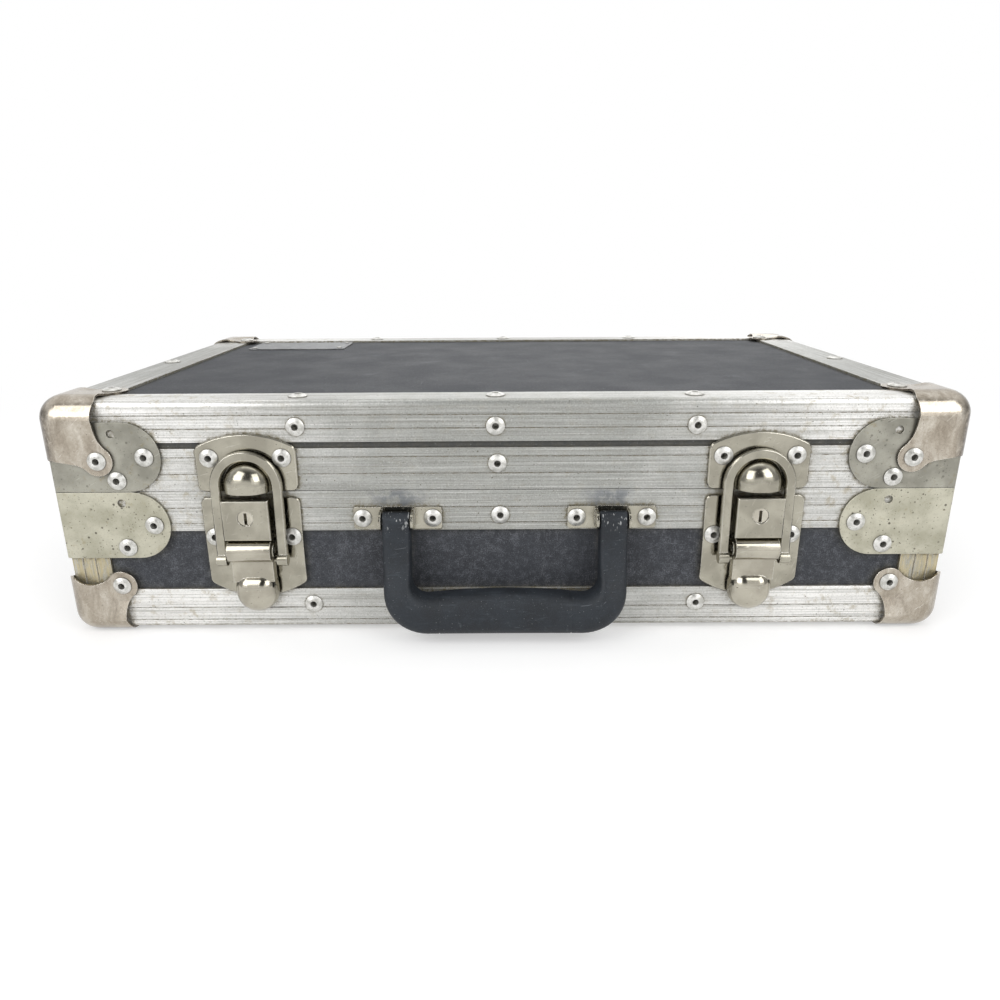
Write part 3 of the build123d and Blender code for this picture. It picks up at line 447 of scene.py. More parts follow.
def extrusion(name, along, stained=0.0):
    """Drawn aluminium, oxidised and pitted, with its draw lines along one axis, a painted
    reflection, painted shade in its gaps and painted highlights on its edges.
    """
    g = Graph(name)
    x, y, z = g.axes(g.position())
    drawn = [1.5] * 3
    drawn[along] = 0.012
    bands = [0.55] * 3
    bands[along] = 0.006
    lines = g.noise(1.0, detail=2.0, rough=0.75, stretch=tuple(drawn))
    broad = g.noise(1.0, detail=2.0, rough=0.5, stretch=tuple(bands), shift=31.0)
    blotch = g.noise(0.045, detail=5.0, rough=0.62)
    mottle = g.noise(0.3, detail=5.0, rough=0.78, shift=46.0)
    grain = g.noise(1.2, detail=4.0, rough=0.8, shift=11.0)
    # Painted reflection: the tone is brighter away from the middle of the long and short runs and
    # higher up the posts, most of all on the lowest and highest legs, with random blotches on top
    far_out = g.span(size_of(g, (x, y, z)[along]) if along < 2 else z, 45.0, 195.0)
    low_leg = g.span(z, *BASE_ANGLE_TOP)
    high_leg = g.span(z, *LID_ANGLE_LOW)
    ends = g.mul(far_out, g.add(0.6, g.mul(g.top(low_leg, high_leg), 0.4)))
    ends = g.add(ends, g.mul(low_leg, 0.2))
    reflection_and_blotch = g.add(ends, g.span(blotch, 0.38, 0.66, low=-0.08, high=0.1))
    tone = g.mix(g.math("ADD", reflection_and_blotch, 0.0, clamp=True), rgb("a9aaa6"), rgb("f8f7f4"))
    tone = g.over(tone, "7f7e78", g.span(lines, 0.42, 0.64, high=0.42))
    tone = g.over(tone, "fbfaf7", g.span(lines, 0.42, 0.28, high=0.3))
    tone = g.over(tone, "949289", g.span(broad, 0.52, 0.72, high=0.34))
    tone = g.over(tone, "8c8b83", g.span(mottle, 0.5, 0.7, high=0.2))
    tone = g.over(tone, "706f68", g.span(grain, 0.5, 0.32, high=0.4))
    tone = g.over(tone, "fbfaf7", g.span(grain, 0.54, 0.72, high=0.4))
    stain_field = g.noise(0.16, detail=6.0, rough=0.74, shift=57.0)
    stain = g.mul(g.span(stain_field, 0.52, 0.66), g.span(far_out, 0.25, 1.0, low=0.2))
    tone = g.over(tone, "9a8a62", stain, most=0.45)
    if stained:
        streaks = g.noise(1.0, detail=4.0, rough=0.7, stretch=(0.6, 0.6, 0.1), shift=71.0)
        tone = g.over(tone, "c6b78d", g.span(streaks, 0.35, 0.6, low=0.15 * stained, high=stained))
    if along == 0:
        # Blue-grey rubs on the mouth above the handle's arms
        over_arms = gate(g, size_of(g, x), *ARM_SPAN, 9.0)
        mouth = g.mul(gate(g, z, *RUB_HEIGHTS, 3.0),
                      g.span(y, FRONT + 1.0, FRONT + 2.0, low=1.0, high=0.0))
        rub = g.mul(g.mul(over_arms, mouth),
                    g.span(g.noise(0.16, detail=4.0, rough=0.6, shift=5.0), 0.36, 0.62))
        tone = g.over(tone, "6d7279", rub, most=0.7)
    # Painted shade in narrow gaps and grooves; the same mask also pits the bump and dulls the metal
    gap_shade = g.crevice(1.1, start=0.35, end=0.9)
    ragged = g.span(g.noise(0.45, detail=5.0, rough=0.78, shift=8.0), 0.4, 0.6)
    near = g.mul(g.crevice(5.0, start=0.76, end=0.985), g.add(0.12, g.mul(ragged, 0.88)))
    tone = g.over(tone, "72684a", near, most=0.85)
    tone = g.over(tone, "4a473d", gap_shade, most=0.4)
    spots = g.top(g.specks(0.4, size=0.14, softness=0.5, share=0.22),
                  g.specks(0.14, size=0.07, softness=0.4, share=0.4, shift=19.0))
    tone = g.over(tone, "4d4836", spots, most=0.7)
    # Painted highlight along the rounded edges
    normal, edge = bevel_and_highlight(g, radius=0.5)
    tone = g.over(tone, "fcfbf8", edge, most=0.6)
    rough = g.span(g.add(g.mul(mottle, 0.5), g.mul(lines, 0.5)), 0.3, 0.7, low=0.34, high=0.5)
    rough = g.add(rough, g.mul(g.top(stain, near), 0.15))
    height = g.add(g.mul(lines, 0.7), g.mul(g.top(spots, gap_shade), -0.6))
    normal = g.bump(g.add(height, g.mul(grain, 0.45)), distance=0.05, strength=0.8, normal=normal)
    metal = g.sub(0.85, g.mul(g.top(g.mul(stain, 0.5), g.top(near, gap_shade)), 0.5))
    return g.finish(tone, rough, metal, normal)


def laminate():
    """Dark panel film with a fine pebble and a grey-blue mottle, a painted darker top and painted
    shade in its gaps.
    """
    g = Graph("panel_laminate")
    z = g.axes(g.position())[2]
    pebble = g.cells(1.55, feature="SMOOTH_F1")
    fine = g.noise(1.5, detail=4.0, rough=0.8)
    mottle = g.noise(0.3, detail=5.0, rough=0.75, shift=3.0)
    cloud = g.noise(0.035, detail=4.0, rough=0.55, shift=9.0)
    tone = g.ramp(g.add(g.mul(mottle, 0.4), g.mul(fine, 0.6)), (0.34, rgb("1e2024")),
                  (0.5, rgb("393b40")),
                  (0.66, rgb("73767c")))
    tone = g.over(tone, "41444a", g.span(cloud, 0.4, 0.7, high=0.4))
    # Painted shade: the top face is painted darker than the walls
    on_top = g.span(z, TOP - 3.5, TOP - 2.5)
    tone = g.over(tone, "25282d", on_top, most=0.55)
    in_lid = g.mul(g.span(z, PARTING, PARTING + 2.0), g.invert(on_top))
    tone = g.over(tone, "5e5e5a", in_lid, most=0.5)
    flecks = g.top(g.specks(0.9, size=0.2, softness=0.6, share=0.3, shift=4.0),
                   g.specks(0.4, size=0.11, softness=0.5, share=0.2, shift=23.0))
    tone = g.over(tone, "989a9c", g.mul(flecks, g.span(in_lid, 0.0, 1.0, low=0.45, high=0.9)))
    wear = g.span(g.noise(0.055, detail=6.0, rough=0.7, shift=41.0), 0.56, 0.76)
    tone = g.over(tone, "6b6d72", wear, most=0.3)
    level_cuts = scratches(g, along=0.05, across=1.6, cut=0.75, width=0.04, shift=13.0, turn=0.35)
    fine_cuts = g.top(level_cuts, scratches(g, along=1.4, across=0.06, cut=0.76, width=0.04,
                                            shift=27.0, turn=-0.2))
    tone = g.over(tone, "8e9094", fine_cuts, most=0.25)
    near = g.mul(g.crevice(5.0, start=0.4, end=0.97), g.span(mottle, 0.4, 0.6, low=0.2))
    tone = g.over(tone, "6b6653", near, most=0.5)
    # Painted shade in narrow gaps
    gap_shade = g.crevice(1.0, start=0.3, end=0.85)
    tone = g.over(tone, "0c0c0c", gap_shade, most=0.8)
    rough = g.span(g.add(g.mul(mottle, 0.5), g.mul(cloud, 0.5)), 0.35, 0.65, low=0.58, high=0.72)
    height = g.add(g.mul(pebble, 0.8), g.mul(fine, 0.35))
    normal = g.bump(height, distance=0.12, strength=0.55)
    return g.finish(tone, rough, 0.0, normal, Specular_IOR_Level=0.35)


def corner_nickel():
    """Satin pressed corner, smudged and streaked, with painted brown shade on its side-facing
    turns, painted shade in its gaps and painted highlights on its rims.
    """
    g = Graph("corner_nickel")
    z = g.axes(g.position())[2]
    smudge = g.noise(1.0, detail=5.0, rough=0.6, stretch=(0.16, 0.16, 0.07), distortion=0.5)
    haze = g.noise(0.8, detail=4.0, rough=0.72, shift=7.0)
    tone = g.ramp(g.add(g.mul(smudge, 0.7), g.mul(haze, 0.3)), (0.34, rgb("958b7d")),
                  (0.5, rgb("b2a99b")),
                  (0.66, rgb("cdc6ba")))
    brushed = g.noise(1.0, detail=2.0, rough=0.7, stretch=(1.5, 1.5, 0.12), shift=4.0)
    tone = g.over(tone, "7b7366", g.span(brushed, 0.5, 0.75, high=0.2))
    # Painted brown shade on the turns that face sideways, stronger on the lid and broken up by
    # noise
    facing = g.axes(g.coord("Normal"))[0]
    ragged = g.span(g.noise(0.3, detail=5.0, rough=0.7, shift=22.0), 0.35, 0.6, low=0.35)
    turned = g.mul(g.span(size_of(g, facing), 0.12, 0.7),
                   g.span(z, PARTING - 20.0, PARTING + 20.0, low=0.4))
    tone = g.over(tone, "453b31", g.mul(turned, ragged), most=0.9)
    dots = g.top(g.specks(0.4, size=0.13, softness=0.5, share=0.25),
                 g.specks(0.16, size=0.06, softness=0.4, share=0.35, shift=14.0))
    tone = g.over(tone, "564f42", dots, most=0.55)
    cuts = scratches(g, along=0.12, across=1.8, cut=0.7, width=0.04, shift=6.0, turn=0.8)
    tone = g.over(tone, "efeae0", cuts, most=0.35)
    # Painted shade in gaps
    gap_shade = g.crevice(2.2, start=0.4, end=0.92)
    tone = g.over(tone, "3a342a", gap_shade, most=0.7)
    # Painted highlight along the rims
    normal, edge = bevel_and_highlight(g, radius=0.45)
    tone = g.over(tone, "f4f0e6", edge, most=0.8)
    rough = g.span(smudge, 0.35, 0.65, low=0.15, high=0.26)
    rough = g.add(rough, g.mul(gap_shade, 0.2))
    normal = g.bump(g.add(g.mul(haze, 0.5), g.mul(dots, -0.5)), distance=0.05, strength=0.4,
                    normal=normal)
    return g.finish(tone, rough, g.sub(0.96, g.mul(g.top(gap_shade, dots), 0.5)), normal)


def brace_zinc(name, dull, light, spots_share):
    """Dull zinc plate with dark corrosion specks and brown stains, painted shade in its gaps and
    painted highlights on its edges.
    """
    g = Graph(name)
    cloud = g.noise(0.07, detail=4.0, rough=0.55)
    grain = g.noise(0.9, detail=4.0, rough=0.75, shift=5.0)
    tone = g.mix(g.span(cloud, 0.32, 0.68), rgb(dull), rgb(light))
    tone = g.over(tone, "8a8877", g.span(grain, 0.5, 0.75, high=0.35))
    large = g.specks(0.26, size=0.2, softness=0.4, share=0.7, shift=2.0)
    small = g.specks(0.6, size=0.24, softness=0.5, share=0.45, shift=17.0)
    tiny = g.specks(1.3, size=0.24, softness=0.6, share=0.3, shift=33.0)
    patch = g.span(g.noise(0.07, detail=4.0, rough=0.6, shift=12.0), 0.36, 0.6, low=0.55)
    dots = g.mul(g.top(g.top(large, small), g.mul(tiny, 0.7)), patch)
    tone = g.over(tone, "4a4539", dots, most=spots_share)
    rust = g.span(g.noise(0.2, detail=6.0, rough=0.75, shift=29.0), 0.57, 0.7)
    tone = g.over(tone, "8f7f58", rust, most=0.4)
    cuts = scratches(g, along=0.08, across=1.7, cut=0.72, width=0.04, shift=3.0, turn=0.5)
    tone = g.over(tone, "dcdccf", cuts, most=0.3)
    # Painted shade in gaps
    gap_shade = g.crevice(2.0, start=0.4, end=0.92)
    tone = g.over(tone, "35332a", gap_shade, most=0.8)
    # Painted highlight along the edges
    normal, edge = bevel_and_highlight(g, radius=0.35)
    tone = g.over(tone, "ecebdf", edge, most=0.6)
    rough = g.add(g.span(cloud, 0.3, 0.7, low=0.34, high=0.46), g.mul(dots, 0.2))
    normal = g.bump(g.add(g.mul(grain, 0.4), g.mul(dots, -0.8)), distance=0.06, strength=0.6,
                    normal=normal)
    return g.finish(tone, rough, g.sub(0.88, g.mul(g.top(dots, gap_shade), 0.5)), normal)


def rivet_metal():
    """Chalky rivet, with painted shade in its mouth, a painted shadow at its foot and painted
    highlights at its rims.
    """
    g = Graph("rivet_metal")
    cloud = g.noise(0.35, detail=4.0, rough=0.6)
    grain = g.noise(2.0, detail=3.0, rough=0.7, shift=6.0)
    tone = g.mix(g.span(cloud, 0.35, 0.65), rgb("bfbeb8"), rgb("e6e5e1"))
    tone = g.over(tone, "96948a", g.span(grain, 0.5, 0.75, high=0.4))
    dots = g.specks(0.9, size=0.22, softness=0.5, share=0.4)
    tone = g.over(tone, "57544a", dots, most=0.6)
    # Painted shadow around the foot, which also roughens the surface there
    wide = g.crevice(2.6, start=0.3, end=0.95)
    tone = g.over(tone, "66635a", wide, most=0.65)
    # Painted shade in the mouth
    gap_shade = g.crevice(0.9, start=0.25, end=0.75, samples=6)
    tone = g.over(tone, "1c1a16", gap_shade)
    # Painted highlight along the rims
    normal, edge = bevel_and_highlight(g, radius=0.3)
    tone = g.over(tone, "fbfaf6", edge, most=0.55)
    rough = g.add(g.span(cloud, 0.3, 0.7, low=0.3, high=0.46), g.mul(wide, 0.15))
    normal = g.bump(g.add(g.mul(grain, 0.5), g.mul(dots, -0.6)), distance=0.05, strength=0.6,
                    normal=normal)
    return g.finish(tone, rough, g.sub(0.65, g.mul(gap_shade, 0.5)), normal)


def latch_nickel(name, dull, light, gloss=0.13, rubbed=0.22):
    """Warm nickel plate, polished with a slight haze, with fine scratches, dirt and painted shade
    in its seams, and painted highlights on its edges.
    """
    g = Graph(name)
    haze = g.noise(0.07, detail=4.0, rough=0.5, distortion=0.3)
    grain = g.noise(1.3, detail=3.0, rough=0.7, shift=5.0)
    tone = g.mix(g.span(haze, 0.35, 0.65), rgb(dull), rgb(light))
    tone = g.over(tone, "7d7768", g.span(grain, 0.58, 0.8, high=0.2))
    dots = g.top(g.specks(0.5, size=0.13, softness=0.5, share=0.3, shift=8.0),
                 g.specks(0.2, size=0.06, softness=0.4, share=0.35, shift=15.0))
    tone = g.over(tone, "4f4a3d", dots, most=0.6)
    steep_cuts = scratches(g, along=0.1, across=2.0, cut=0.71, width=0.04, shift=1.0, turn=1.2)
    cuts = g.top(steep_cuts,
                 scratches(g, along=0.14, across=1.6, cut=0.72, width=0.04, shift=9.0, turn=0.3))
    tone = g.over(tone, "f3efe4", cuts, most=rubbed)
    near = g.mul(g.crevice(3.5, start=0.35, end=0.95), g.span(haze, 0.3, 0.6, low=0.4))
    tone = g.over(tone, "5f5947", near, most=0.4)
    # Painted shade in the seams
    gap_shade = g.crevice(1.0, start=0.3, end=0.85)
    tone = g.over(tone, "211e17", gap_shade, most=0.85)
    # Painted highlight along the edges
    normal, edge = bevel_and_highlight(g, radius=0.4, start=0.02, end=0.16)
    tone = g.over(tone, "faf7ef", edge, most=0.85)
    rough = g.span(haze, 0.35, 0.65, low=gloss, high=gloss + 0.07)
    rough = g.add(rough, g.add(g.mul(cuts, 0.1), g.mul(near, 0.12)))
    normal = g.bump(g.add(g.mul(grain, 0.2), g.mul(g.top(dots, cuts), -0.35)), distance=0.03,
                    strength=0.35, normal=normal)
    return g.finish(tone, rough, g.sub(1.0, g.mul(g.top(dots, gap_shade), 0.5)), normal)


def handle_plastic():
    """Dark slate moulded plastic with a fine grain, faint rubs, chipped arm tops and painted shade
    in its gaps.
    """
    g = Graph("handle_plastic")
    z = g.axes(g.position())[2]
    grain = g.cells(2.2, feature="SMOOTH_F1")
    fine = g.noise(2.2, detail=3.0, rough=0.75)
    cloud = g.noise(0.08, detail=5.0, rough=0.6, shift=2.0)
    tone = g.mix(g.span(cloud, 0.35, 0.65), rgb("191d22"), rgb("23282e"))
    tone = g.over(tone, "3a4047", g.span(fine, 0.48, 0.7, high=0.5))
    long_rubs = g.noise(1.0, detail=4.0, rough=0.65, stretch=(0.07, 0.5, 0.5), shift=16.0)
    tone = g.over(tone, "4c535a", g.span(long_rubs, 0.54, 0.76, high=0.3))
    scuffs = g.span(g.noise(0.2, detail=6.0, rough=0.72, shift=21.0), 0.58, 0.72)
    scuffs = g.mul(scuffs, g.span(z, *GRIP_HEIGHTS, 0.3, 1.0))
    tone = g.over(tone, "6d737a", scuffs, most=0.3)
    dots = g.specks(0.5, size=0.14, softness=0.5, share=0.3, shift=3.0)
    tone = g.over(tone, "9a9da0", dots, most=0.4)
    high = g.mul(g.span(z, *ARM_TOP_HEIGHTS),
                 scratches(g, along=1.1, across=0.4, cut=0.62, width=0.06, shift=2.0))
    tone = g.over(tone, "c4c6c6", high, most=0.6)
    level_cuts = scratches(g, along=0.08, across=1.8, cut=0.73, width=0.04, shift=4.0, turn=0.15)
    cuts = g.top(level_cuts,
                 scratches(g, along=0.12, across=1.4, cut=0.75, width=0.04, shift=12.0, turn=0.7))
    tone = g.over(tone, "7b8187", cuts, most=0.3)
    # Painted shade in gaps
    gap_shade = g.crevice(1.5, start=0.3, end=0.85)
    tone = g.over(tone, "0b0c0d", gap_shade, most=0.7)
    rough = g.span(g.add(g.mul(cloud, 0.4), g.mul(long_rubs, 0.6)), 0.35, 0.65, low=0.5, high=0.64)
    height = g.add(g.mul(grain, 0.5), g.add(g.mul(fine, 0.5), g.mul(g.top(cuts, high), -0.5)))
    normal = g.bump(height, distance=0.1, strength=0.55)
    return g.finish(tone, rough, 0.0, normal, Specular_IOR_Level=0.4)


def label_metal():
    """Blank worn plate with a brushed face, painted shade in its gaps and painted highlights on its
    edges.
    """
    g = Graph("label_metal")
    brush = g.noise(1.0, detail=3.0, rough=0.7, stretch=(0.05, 2.4, 2.4))
    cloud = g.noise(0.12, detail=5.0, rough=0.66, shift=3.0)
    tone = g.mix(g.span(cloud, 0.35, 0.65), rgb("66676a"), rgb("8d8e8f"))
    tone = g.over(tone, "acadad", g.span(brush, 0.5, 0.75, high=0.35))
    worn = g.span(g.noise(0.25, detail=6.0, rough=0.75, shift=14.0), 0.55, 0.7)
    tone = g.over(tone, "b9b9b6", worn, most=0.55)
    level_cuts = scratches(g, along=0.1, across=1.8, cut=0.68, width=0.05, shift=5.0)
    cuts = g.top(level_cuts, scratches(g, along=1.5, across=0.1, cut=0.7, width=0.05, shift=8.0))
    tone = g.over(tone, "d5d5d2", cuts, most=0.6)
    # Painted shade in gaps
    gap_shade = g.crevice(1.2, start=0.4, end=0.92)
    tone = g.over(tone, "2d2c29", gap_shade, most=0.7)
    # Painted highlight along the edges
    normal, edge = bevel_and_highlight(g, radius=0.35)
    tone = g.over(tone, "eeeeea", edge, most=0.8)
    rough = g.span(cloud, 0.3, 0.7, low=0.38, high=0.55)
    normal = g.bump(g.add(brush, g.mul(cuts, -0.5)), distance=0.03, strength=0.5, normal=normal)
    return g.finish(tone, rough, 0.75, normal)


def foam():
    """Dark open-cell foam, with painted shade in its pores."""
    g = Graph("lining_foam")
    cells = g.cells(0.85)
    pores = g.cells(2.1, shift=4.0)
    cloud = g.noise(0.03, detail=4.0, rough=0.55)
    tone = g.mix(g.span(cloud, 0.35, 0.65), rgb("26272a"), rgb("35363a"))
    tone = g.over(tone, "4a4b4f", g.span(cells, 0.25, 0.75, high=0.5))
    # Painted shade in the pores
    tone = g.over(tone, "0f1012", g.span(pores, 0.1, 0.35, low=0.6, high=0.0))
    dust = g.span(g.noise(0.12, detail=5.0, rough=0.7, shift=8.0), 0.58, 0.75)
    tone = g.over(tone, "7b7a76", dust, most=0.25)
    height = g.add(g.mul(cells, 0.7), g.mul(pores, 0.6))
    normal = g.bump(height, distance=0.35, strength=0.7)
    return g.finish(tone, g.span(pores, 0.1, 0.5, low=0.98, high=0.86), 0.0, normal,
                    Specular_IOR_Level=0.3)


# Pieces of the scene's own

# The handle: half widths, heights and roundings, and distances out from the front face
ARM_OUT = 61.4
ARM_IN = 47.2
HANDLE_LOW = 4.0 + SHIFT_Z
WINDOW_LOW = 24.0 + SHIFT_Z
WINDOW_ARCH = 2.4
OUTER_ROUND = 22.0
INNER_ROUND = 8.0
PIVOT_Z = 61.7 + SHIFT_Z
EYE = 4.9
GRIP_MID = (HANDLE_LOW + WINDOW_LOW + WINDOW_ARCH) / 2
SHOULDER = (WINDOW_LOW + WINDOW_ARCH + 14.0, 14.1)
SEAM_X = 33.5
SEAM_DEPTH = 0.28
SEAM_REACH = 0.1
BACK_OUT = 2.4
ARM_BACK_OUT = 1.3
GRIP_OUT = 22.0
SHOULDER_LEAN = -0.33
ARM_TOP_OUT = 11.1
EYE_OUT = 6.2
GRIP_POWER = 2.7
ARM_POWER = 4.5
SQUARING_RISE = 24.0
CAP_SHRINK = 1.1
CAP_SHARES = (0.97, 0.85, 0.68, 0.5, 0.34, 0.17)
ARM_STEPS = 14
TURN_STEPS = 12
POINTS_AROUND = 40
GRIP_STATIONS = (-37.0, -35.2, -34.0, -33.5, -33.0, -31.8, -28.0, -22.0, -15.0, -7.5)

# The foam sheets
LINING_COLUMNS = 56
LINING_ROWS = 34
LINING_RIM = 2.2
RIM_STEPS = 4
RIM_THICKNESS = 0.3
RIPPLE_SHARE = 0.035
RIPPLE_RATES = (0.01, 0.035)
RIPPLE_PHASES = (0, 6.3)
RIPPLES = 6


def hermite(t, a, b, slope_a, slope_b):
    return ((2 * t ** 3 - 3 * t ** 2 + 1) * a + (t ** 3 - 2 * t ** 2 + t) * slope_a
            + (-2 * t ** 3 + 3 * t ** 2) * b + (t ** 3 - t ** 2) * slope_b)


def handle_depth(z):
    """Nearest and furthest distance of the handle out from the front face, at a height."""
    z = max(z, GRIP_MID)
    rise = min((z - GRIP_MID) / (PIVOT_Z - GRIP_MID), 1.0)
    back = BACK_OUT + (ARM_BACK_OUT - BACK_OUT) * rise
    shoulder_z, shoulder_out = SHOULDER
    if z < shoulder_z:
        length = shoulder_z - GRIP_MID
        front = hermite((z - GRIP_MID) / length, GRIP_OUT, shoulder_out, 0.0,
                        SHOULDER_LEAN * length)
    else:
        length = PIVOT_Z - shoulder_z
        share = min((z - shoulder_z) / length, 1.0)
        front = hermite(share, shoulder_out, ARM_TOP_OUT, SHOULDER_LEAN * length, 0.0)
    return back, front


def handle_stations():
    """Outer and inner points of the front outline, from the left arm's top to the right one's."""
    corner_out = (-(ARM_OUT - OUTER_ROUND), HANDLE_LOW + OUTER_ROUND)
    corner_in = (-(ARM_IN - INNER_ROUND), WINDOW_LOW + INNER_ROUND)
    left = []
    for i in range(ARM_STEPS):
        t = i / ARM_STEPS
        z_out = PIVOT_Z + (corner_out[1] - PIVOT_Z) * t
        z_in = PIVOT_Z + (corner_in[1] - PIVOT_Z) * t
        left.append(((-ARM_OUT, z_out), (-ARM_IN, z_in)))
    for i in range(TURN_STEPS + 1):
        angle = pi + pi / 2 * i / TURN_STEPS
        left.append((
            (corner_out[0] + OUTER_ROUND * cos(angle), corner_out[1] + OUTER_ROUND * sin(angle)),
            (corner_in[0] + INNER_ROUND * cos(angle), corner_in[1] + INNER_ROUND * sin(angle)),
        ))
    half_grip = -corner_in[0]
    for x in GRIP_STATIONS:
        rise = WINDOW_ARCH * (1 - (x / half_grip) ** 2)
        left.append(((x, HANDLE_LOW), (x, WINDOW_LOW + rise)))
    right = [((-a[0], a[1]), (-b[0], b[1])) for a, b in reversed(left)]
    return left + [((0.0, HANDLE_LOW), (0.0, WINDOW_LOW + WINDOW_ARCH))] + right


def oval(angle, power):
    """Point of a superellipse with half axes 1."""
    c, s = cos(angle), sin(angle)
    return tuple(abs(v) ** (2 / power) * (1 if v >= 0 else -1) for v in (c, s))


def make_handle(material):
    """Moulded U handle: oval sections, boxier on the arms, with rounded arm tops."""
    around = POINTS_AROUND
    rings = []

    def ring(outer, inner, back, front, power, shrink=0.0):
        centre = Vector(((outer[0] + inner[0]) / 2, 0, (outer[1] + inner[1]) / 2))
        reach = Vector((inner[0] - outer[0], 0, inner[1] - outer[1]))
        half = reach.length / 2 - shrink
        direction = reach.normalized()
        middle = (back + front) / 2
        deep = (front - back) / 2 - shrink
        points = []
        for i in range(around):
            a, b = oval(2 * pi * i / around, power)
            place = centre + direction * (a * half)
            points.append((place.x * MM, (FRONT - middle + b * deep) * MM, place.z * MM))
        rings.append(points)

    stations = handle_stations()

    def cap(outer, inner, order):
        for share in order:
            lift = EYE * sin(share * pi / 2)
            deep = EYE * cos(share * pi / 2)
            raised = [(p[0], PIVOT_Z + lift) for p in (outer, inner)]
            ring(*raised, EYE_OUT - deep, EYE_OUT + deep, ARM_POWER, CAP_SHRINK * share ** 3)

    cap(*stations[0], CAP_SHARES)
    for outer, inner in stations:
        middle_z = (outer[1] + inner[1]) / 2
        back, front = handle_depth(middle_z)
        level = max(0.0, min(1.0, (middle_z - GRIP_MID) / SQUARING_RISE))
        power = GRIP_POWER + (ARM_POWER - GRIP_POWER) * level
        low = outer[1] < HANDLE_LOW + SEAM_REACH
        on_seam = low and abs(abs(outer[0]) - SEAM_X) < SEAM_REACH
        ring(outer, inner, back, front, power, SEAM_DEPTH if on_seam else 0.0)
    cap(*stations[-1], tuple(reversed(CAP_SHARES)))

    verts = [p for points in rings for p in points]
    faces = []
    for r in range(len(rings) - 1):
        for i in range(around):
            j = (i + 1) % around
            a, b = r * around, (r + 1) * around
            faces.append((a + i, a + j, b + j, b + i))
    faces.append(tuple(reversed(range(around))))
    faces.append(tuple((len(rings) - 1) * around + i for i in range(around)))
    finished("handle_grip", verts, faces, material, "handle", "handle")


def finished(name, verts, faces, material, body, node):
    """Smooth piece of the scene's own in the place of a node."""
    mesh = bpy.data.meshes.new(name)
    mesh.from_pydata(verts, [], faces)
    form = bmesh.new()
    form.from_mesh(mesh)
    bmesh.ops.recalc_face_normals(form, faces=form.faces[:])
    form.to_mesh(mesh)
    form.free()
    for polygon in mesh.polygons:
        polygon.use_smooth = True
    mesh.materials.append(material)
    made = bpy.data.objects.new(name, mesh)
    bpy.context.scene.collection.objects.link(made)
    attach(made, body)
    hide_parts(node)
    return made


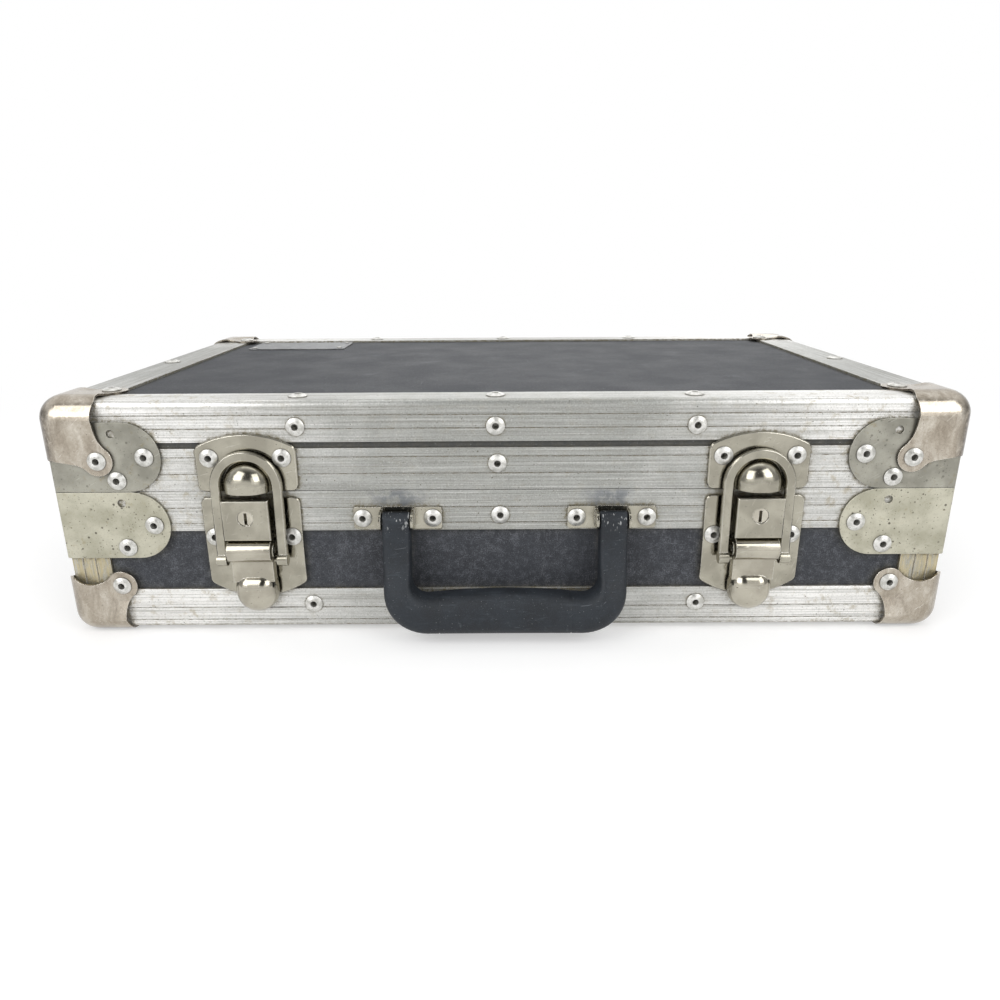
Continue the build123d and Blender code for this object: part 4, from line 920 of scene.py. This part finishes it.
def make_lining(name, node, body, material, seed):
    """Foam sheet in its node's place: soft rounded rims and a slightly uneven face."""
    low, high = (Vector(corner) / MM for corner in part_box(node))
    chance = random.Random(seed)
    bounds = (RIPPLE_RATES, RIPPLE_RATES, RIPPLE_PHASES)
    waves = [tuple(chance.uniform(*pair) for pair in bounds) for wave in range(RIPPLES)]
    rim = LINING_RIM
    middle = (low.z + high.z) / 2
    half = (high.z - low.z) / 2

    def places(a, b, count):
        inner = [a + rim + (b - a - 2 * rim) * i / count for i in range(count + 1)]
        bend = [rim * (1 - cos(pi / 2 * i / RIM_STEPS)) for i in range(RIM_STEPS)]
        return [a + v for v in bend] + inner + [b - v for v in reversed(bend)]

    xs = places(low.x, high.x, LINING_COLUMNS)
    ys = places(low.y, high.y, LINING_ROWS)

    def thickness(x, y):
        inset = min(x - low.x, high.x - x, y - low.y, high.y - y)
        share = min(inset / rim, 1.0)
        round_share = (1 - (1 - share) ** 2) ** 0.5
        ripple = sum(sin(x * u + y * v + w) for u, v, w in waves) / len(waves)
        edge = RIM_THICKNESS + (1 - RIM_THICKNESS) * round_share
        return half * edge * (1 - RIPPLE_SHARE + RIPPLE_SHARE * ripple)

    verts, faces = [], []
    for side in (-1, 1):
        for y in ys:
            for x in xs:
                verts.append((x * MM, y * MM, (middle + side * thickness(x, y)) * MM))
    wide, deep = len(xs), len(ys)
    layer = wide * deep
    for j in range(deep - 1):
        for i in range(wide - 1):
            a = j * wide + i
            faces.append((a, a + wide, a + wide + 1, a + 1))
            faces.append((layer + a, layer + a + 1, layer + a + wide + 1, layer + a + wide))
    last = (deep - 1) * wide
    loop = list(range(wide)) + [j * wide + wide - 1 for j in range(1, deep)]
    loop += [last + i for i in range(wide - 2, -1, -1)] + [j * wide for j in range(deep - 2, 0, -1)]
    for a, b in zip(loop, loop[1:] + loop[:1]):
        faces.append((a, b, layer + b, layer + a))
    made = finished(name, verts, faces, material, body, node)


# Dressing

LONG = extrusion("extrusion_long", 0)
SHORT = extrusion("extrusion_short", 1)
POST = extrusion("extrusion_post", 2, 0.7)
PANEL = laminate()
CORNER = corner_nickel()
BASE_BRACE = brace_zinc("brace_base_zinc", "a9a694", "c6c3b2", 0.85)
LID_BRACE = brace_zinc("brace_lid_zinc", "8b897f", "a9a79c", 0.5)
RIVET = rivet_metal()
PLATE = latch_nickel("latch_nickel", "979386", "aeaa9c")
DOME = latch_nickel("latch_polish", "a29d90", "b9b4a6", 0.1)
PLUG = latch_nickel("plug_nickel", "b5b0a2", "d2cdbf", 0.2)
STEEL = latch_nickel("hinge_steel", "9a9a94", "bcbcb6", 0.27)
LABEL = label_metal()
FOAM = foam()
HANDLE = handle_plastic()

for name, piece in nodes.items():
    if name.endswith("_board"):
        material = PANEL
    elif name.endswith(("_angle", "_mouth")):
        material = LONG if "_front_" in name or "_rear_" in name else SHORT
    elif name == "base_corner_posts":
        material = POST
    elif name.endswith("_braces"):
        material = BASE_BRACE if name.startswith("base") else LID_BRACE
    elif name.endswith("ball_corners"):
        material = CORNER
    elif name.endswith("_rivets"):
        material = RIVET
    elif name == "handle":
        material = HANDLE
    elif name.endswith("_lining"):
        material = FOAM
    elif name == "label_plate":
        material = LABEL
    elif name.endswith("_key_cylinder"):
        material = PLUG
    elif name.endswith("_lever"):
        material = DOME
    elif "hinge" in name or name.endswith(("_pins", "_bolt")):
        material = STEEL
    else:
        material = PLATE
    piece.data.materials.clear()
    piece.data.materials.append(material)

make_handle(HANDLE)
make_lining("base_foam_sheet", "base_lining", "base", FOAM, 3)
make_lining("lid_foam_sheet", "lid_lining", "lid", FOAM, 4)
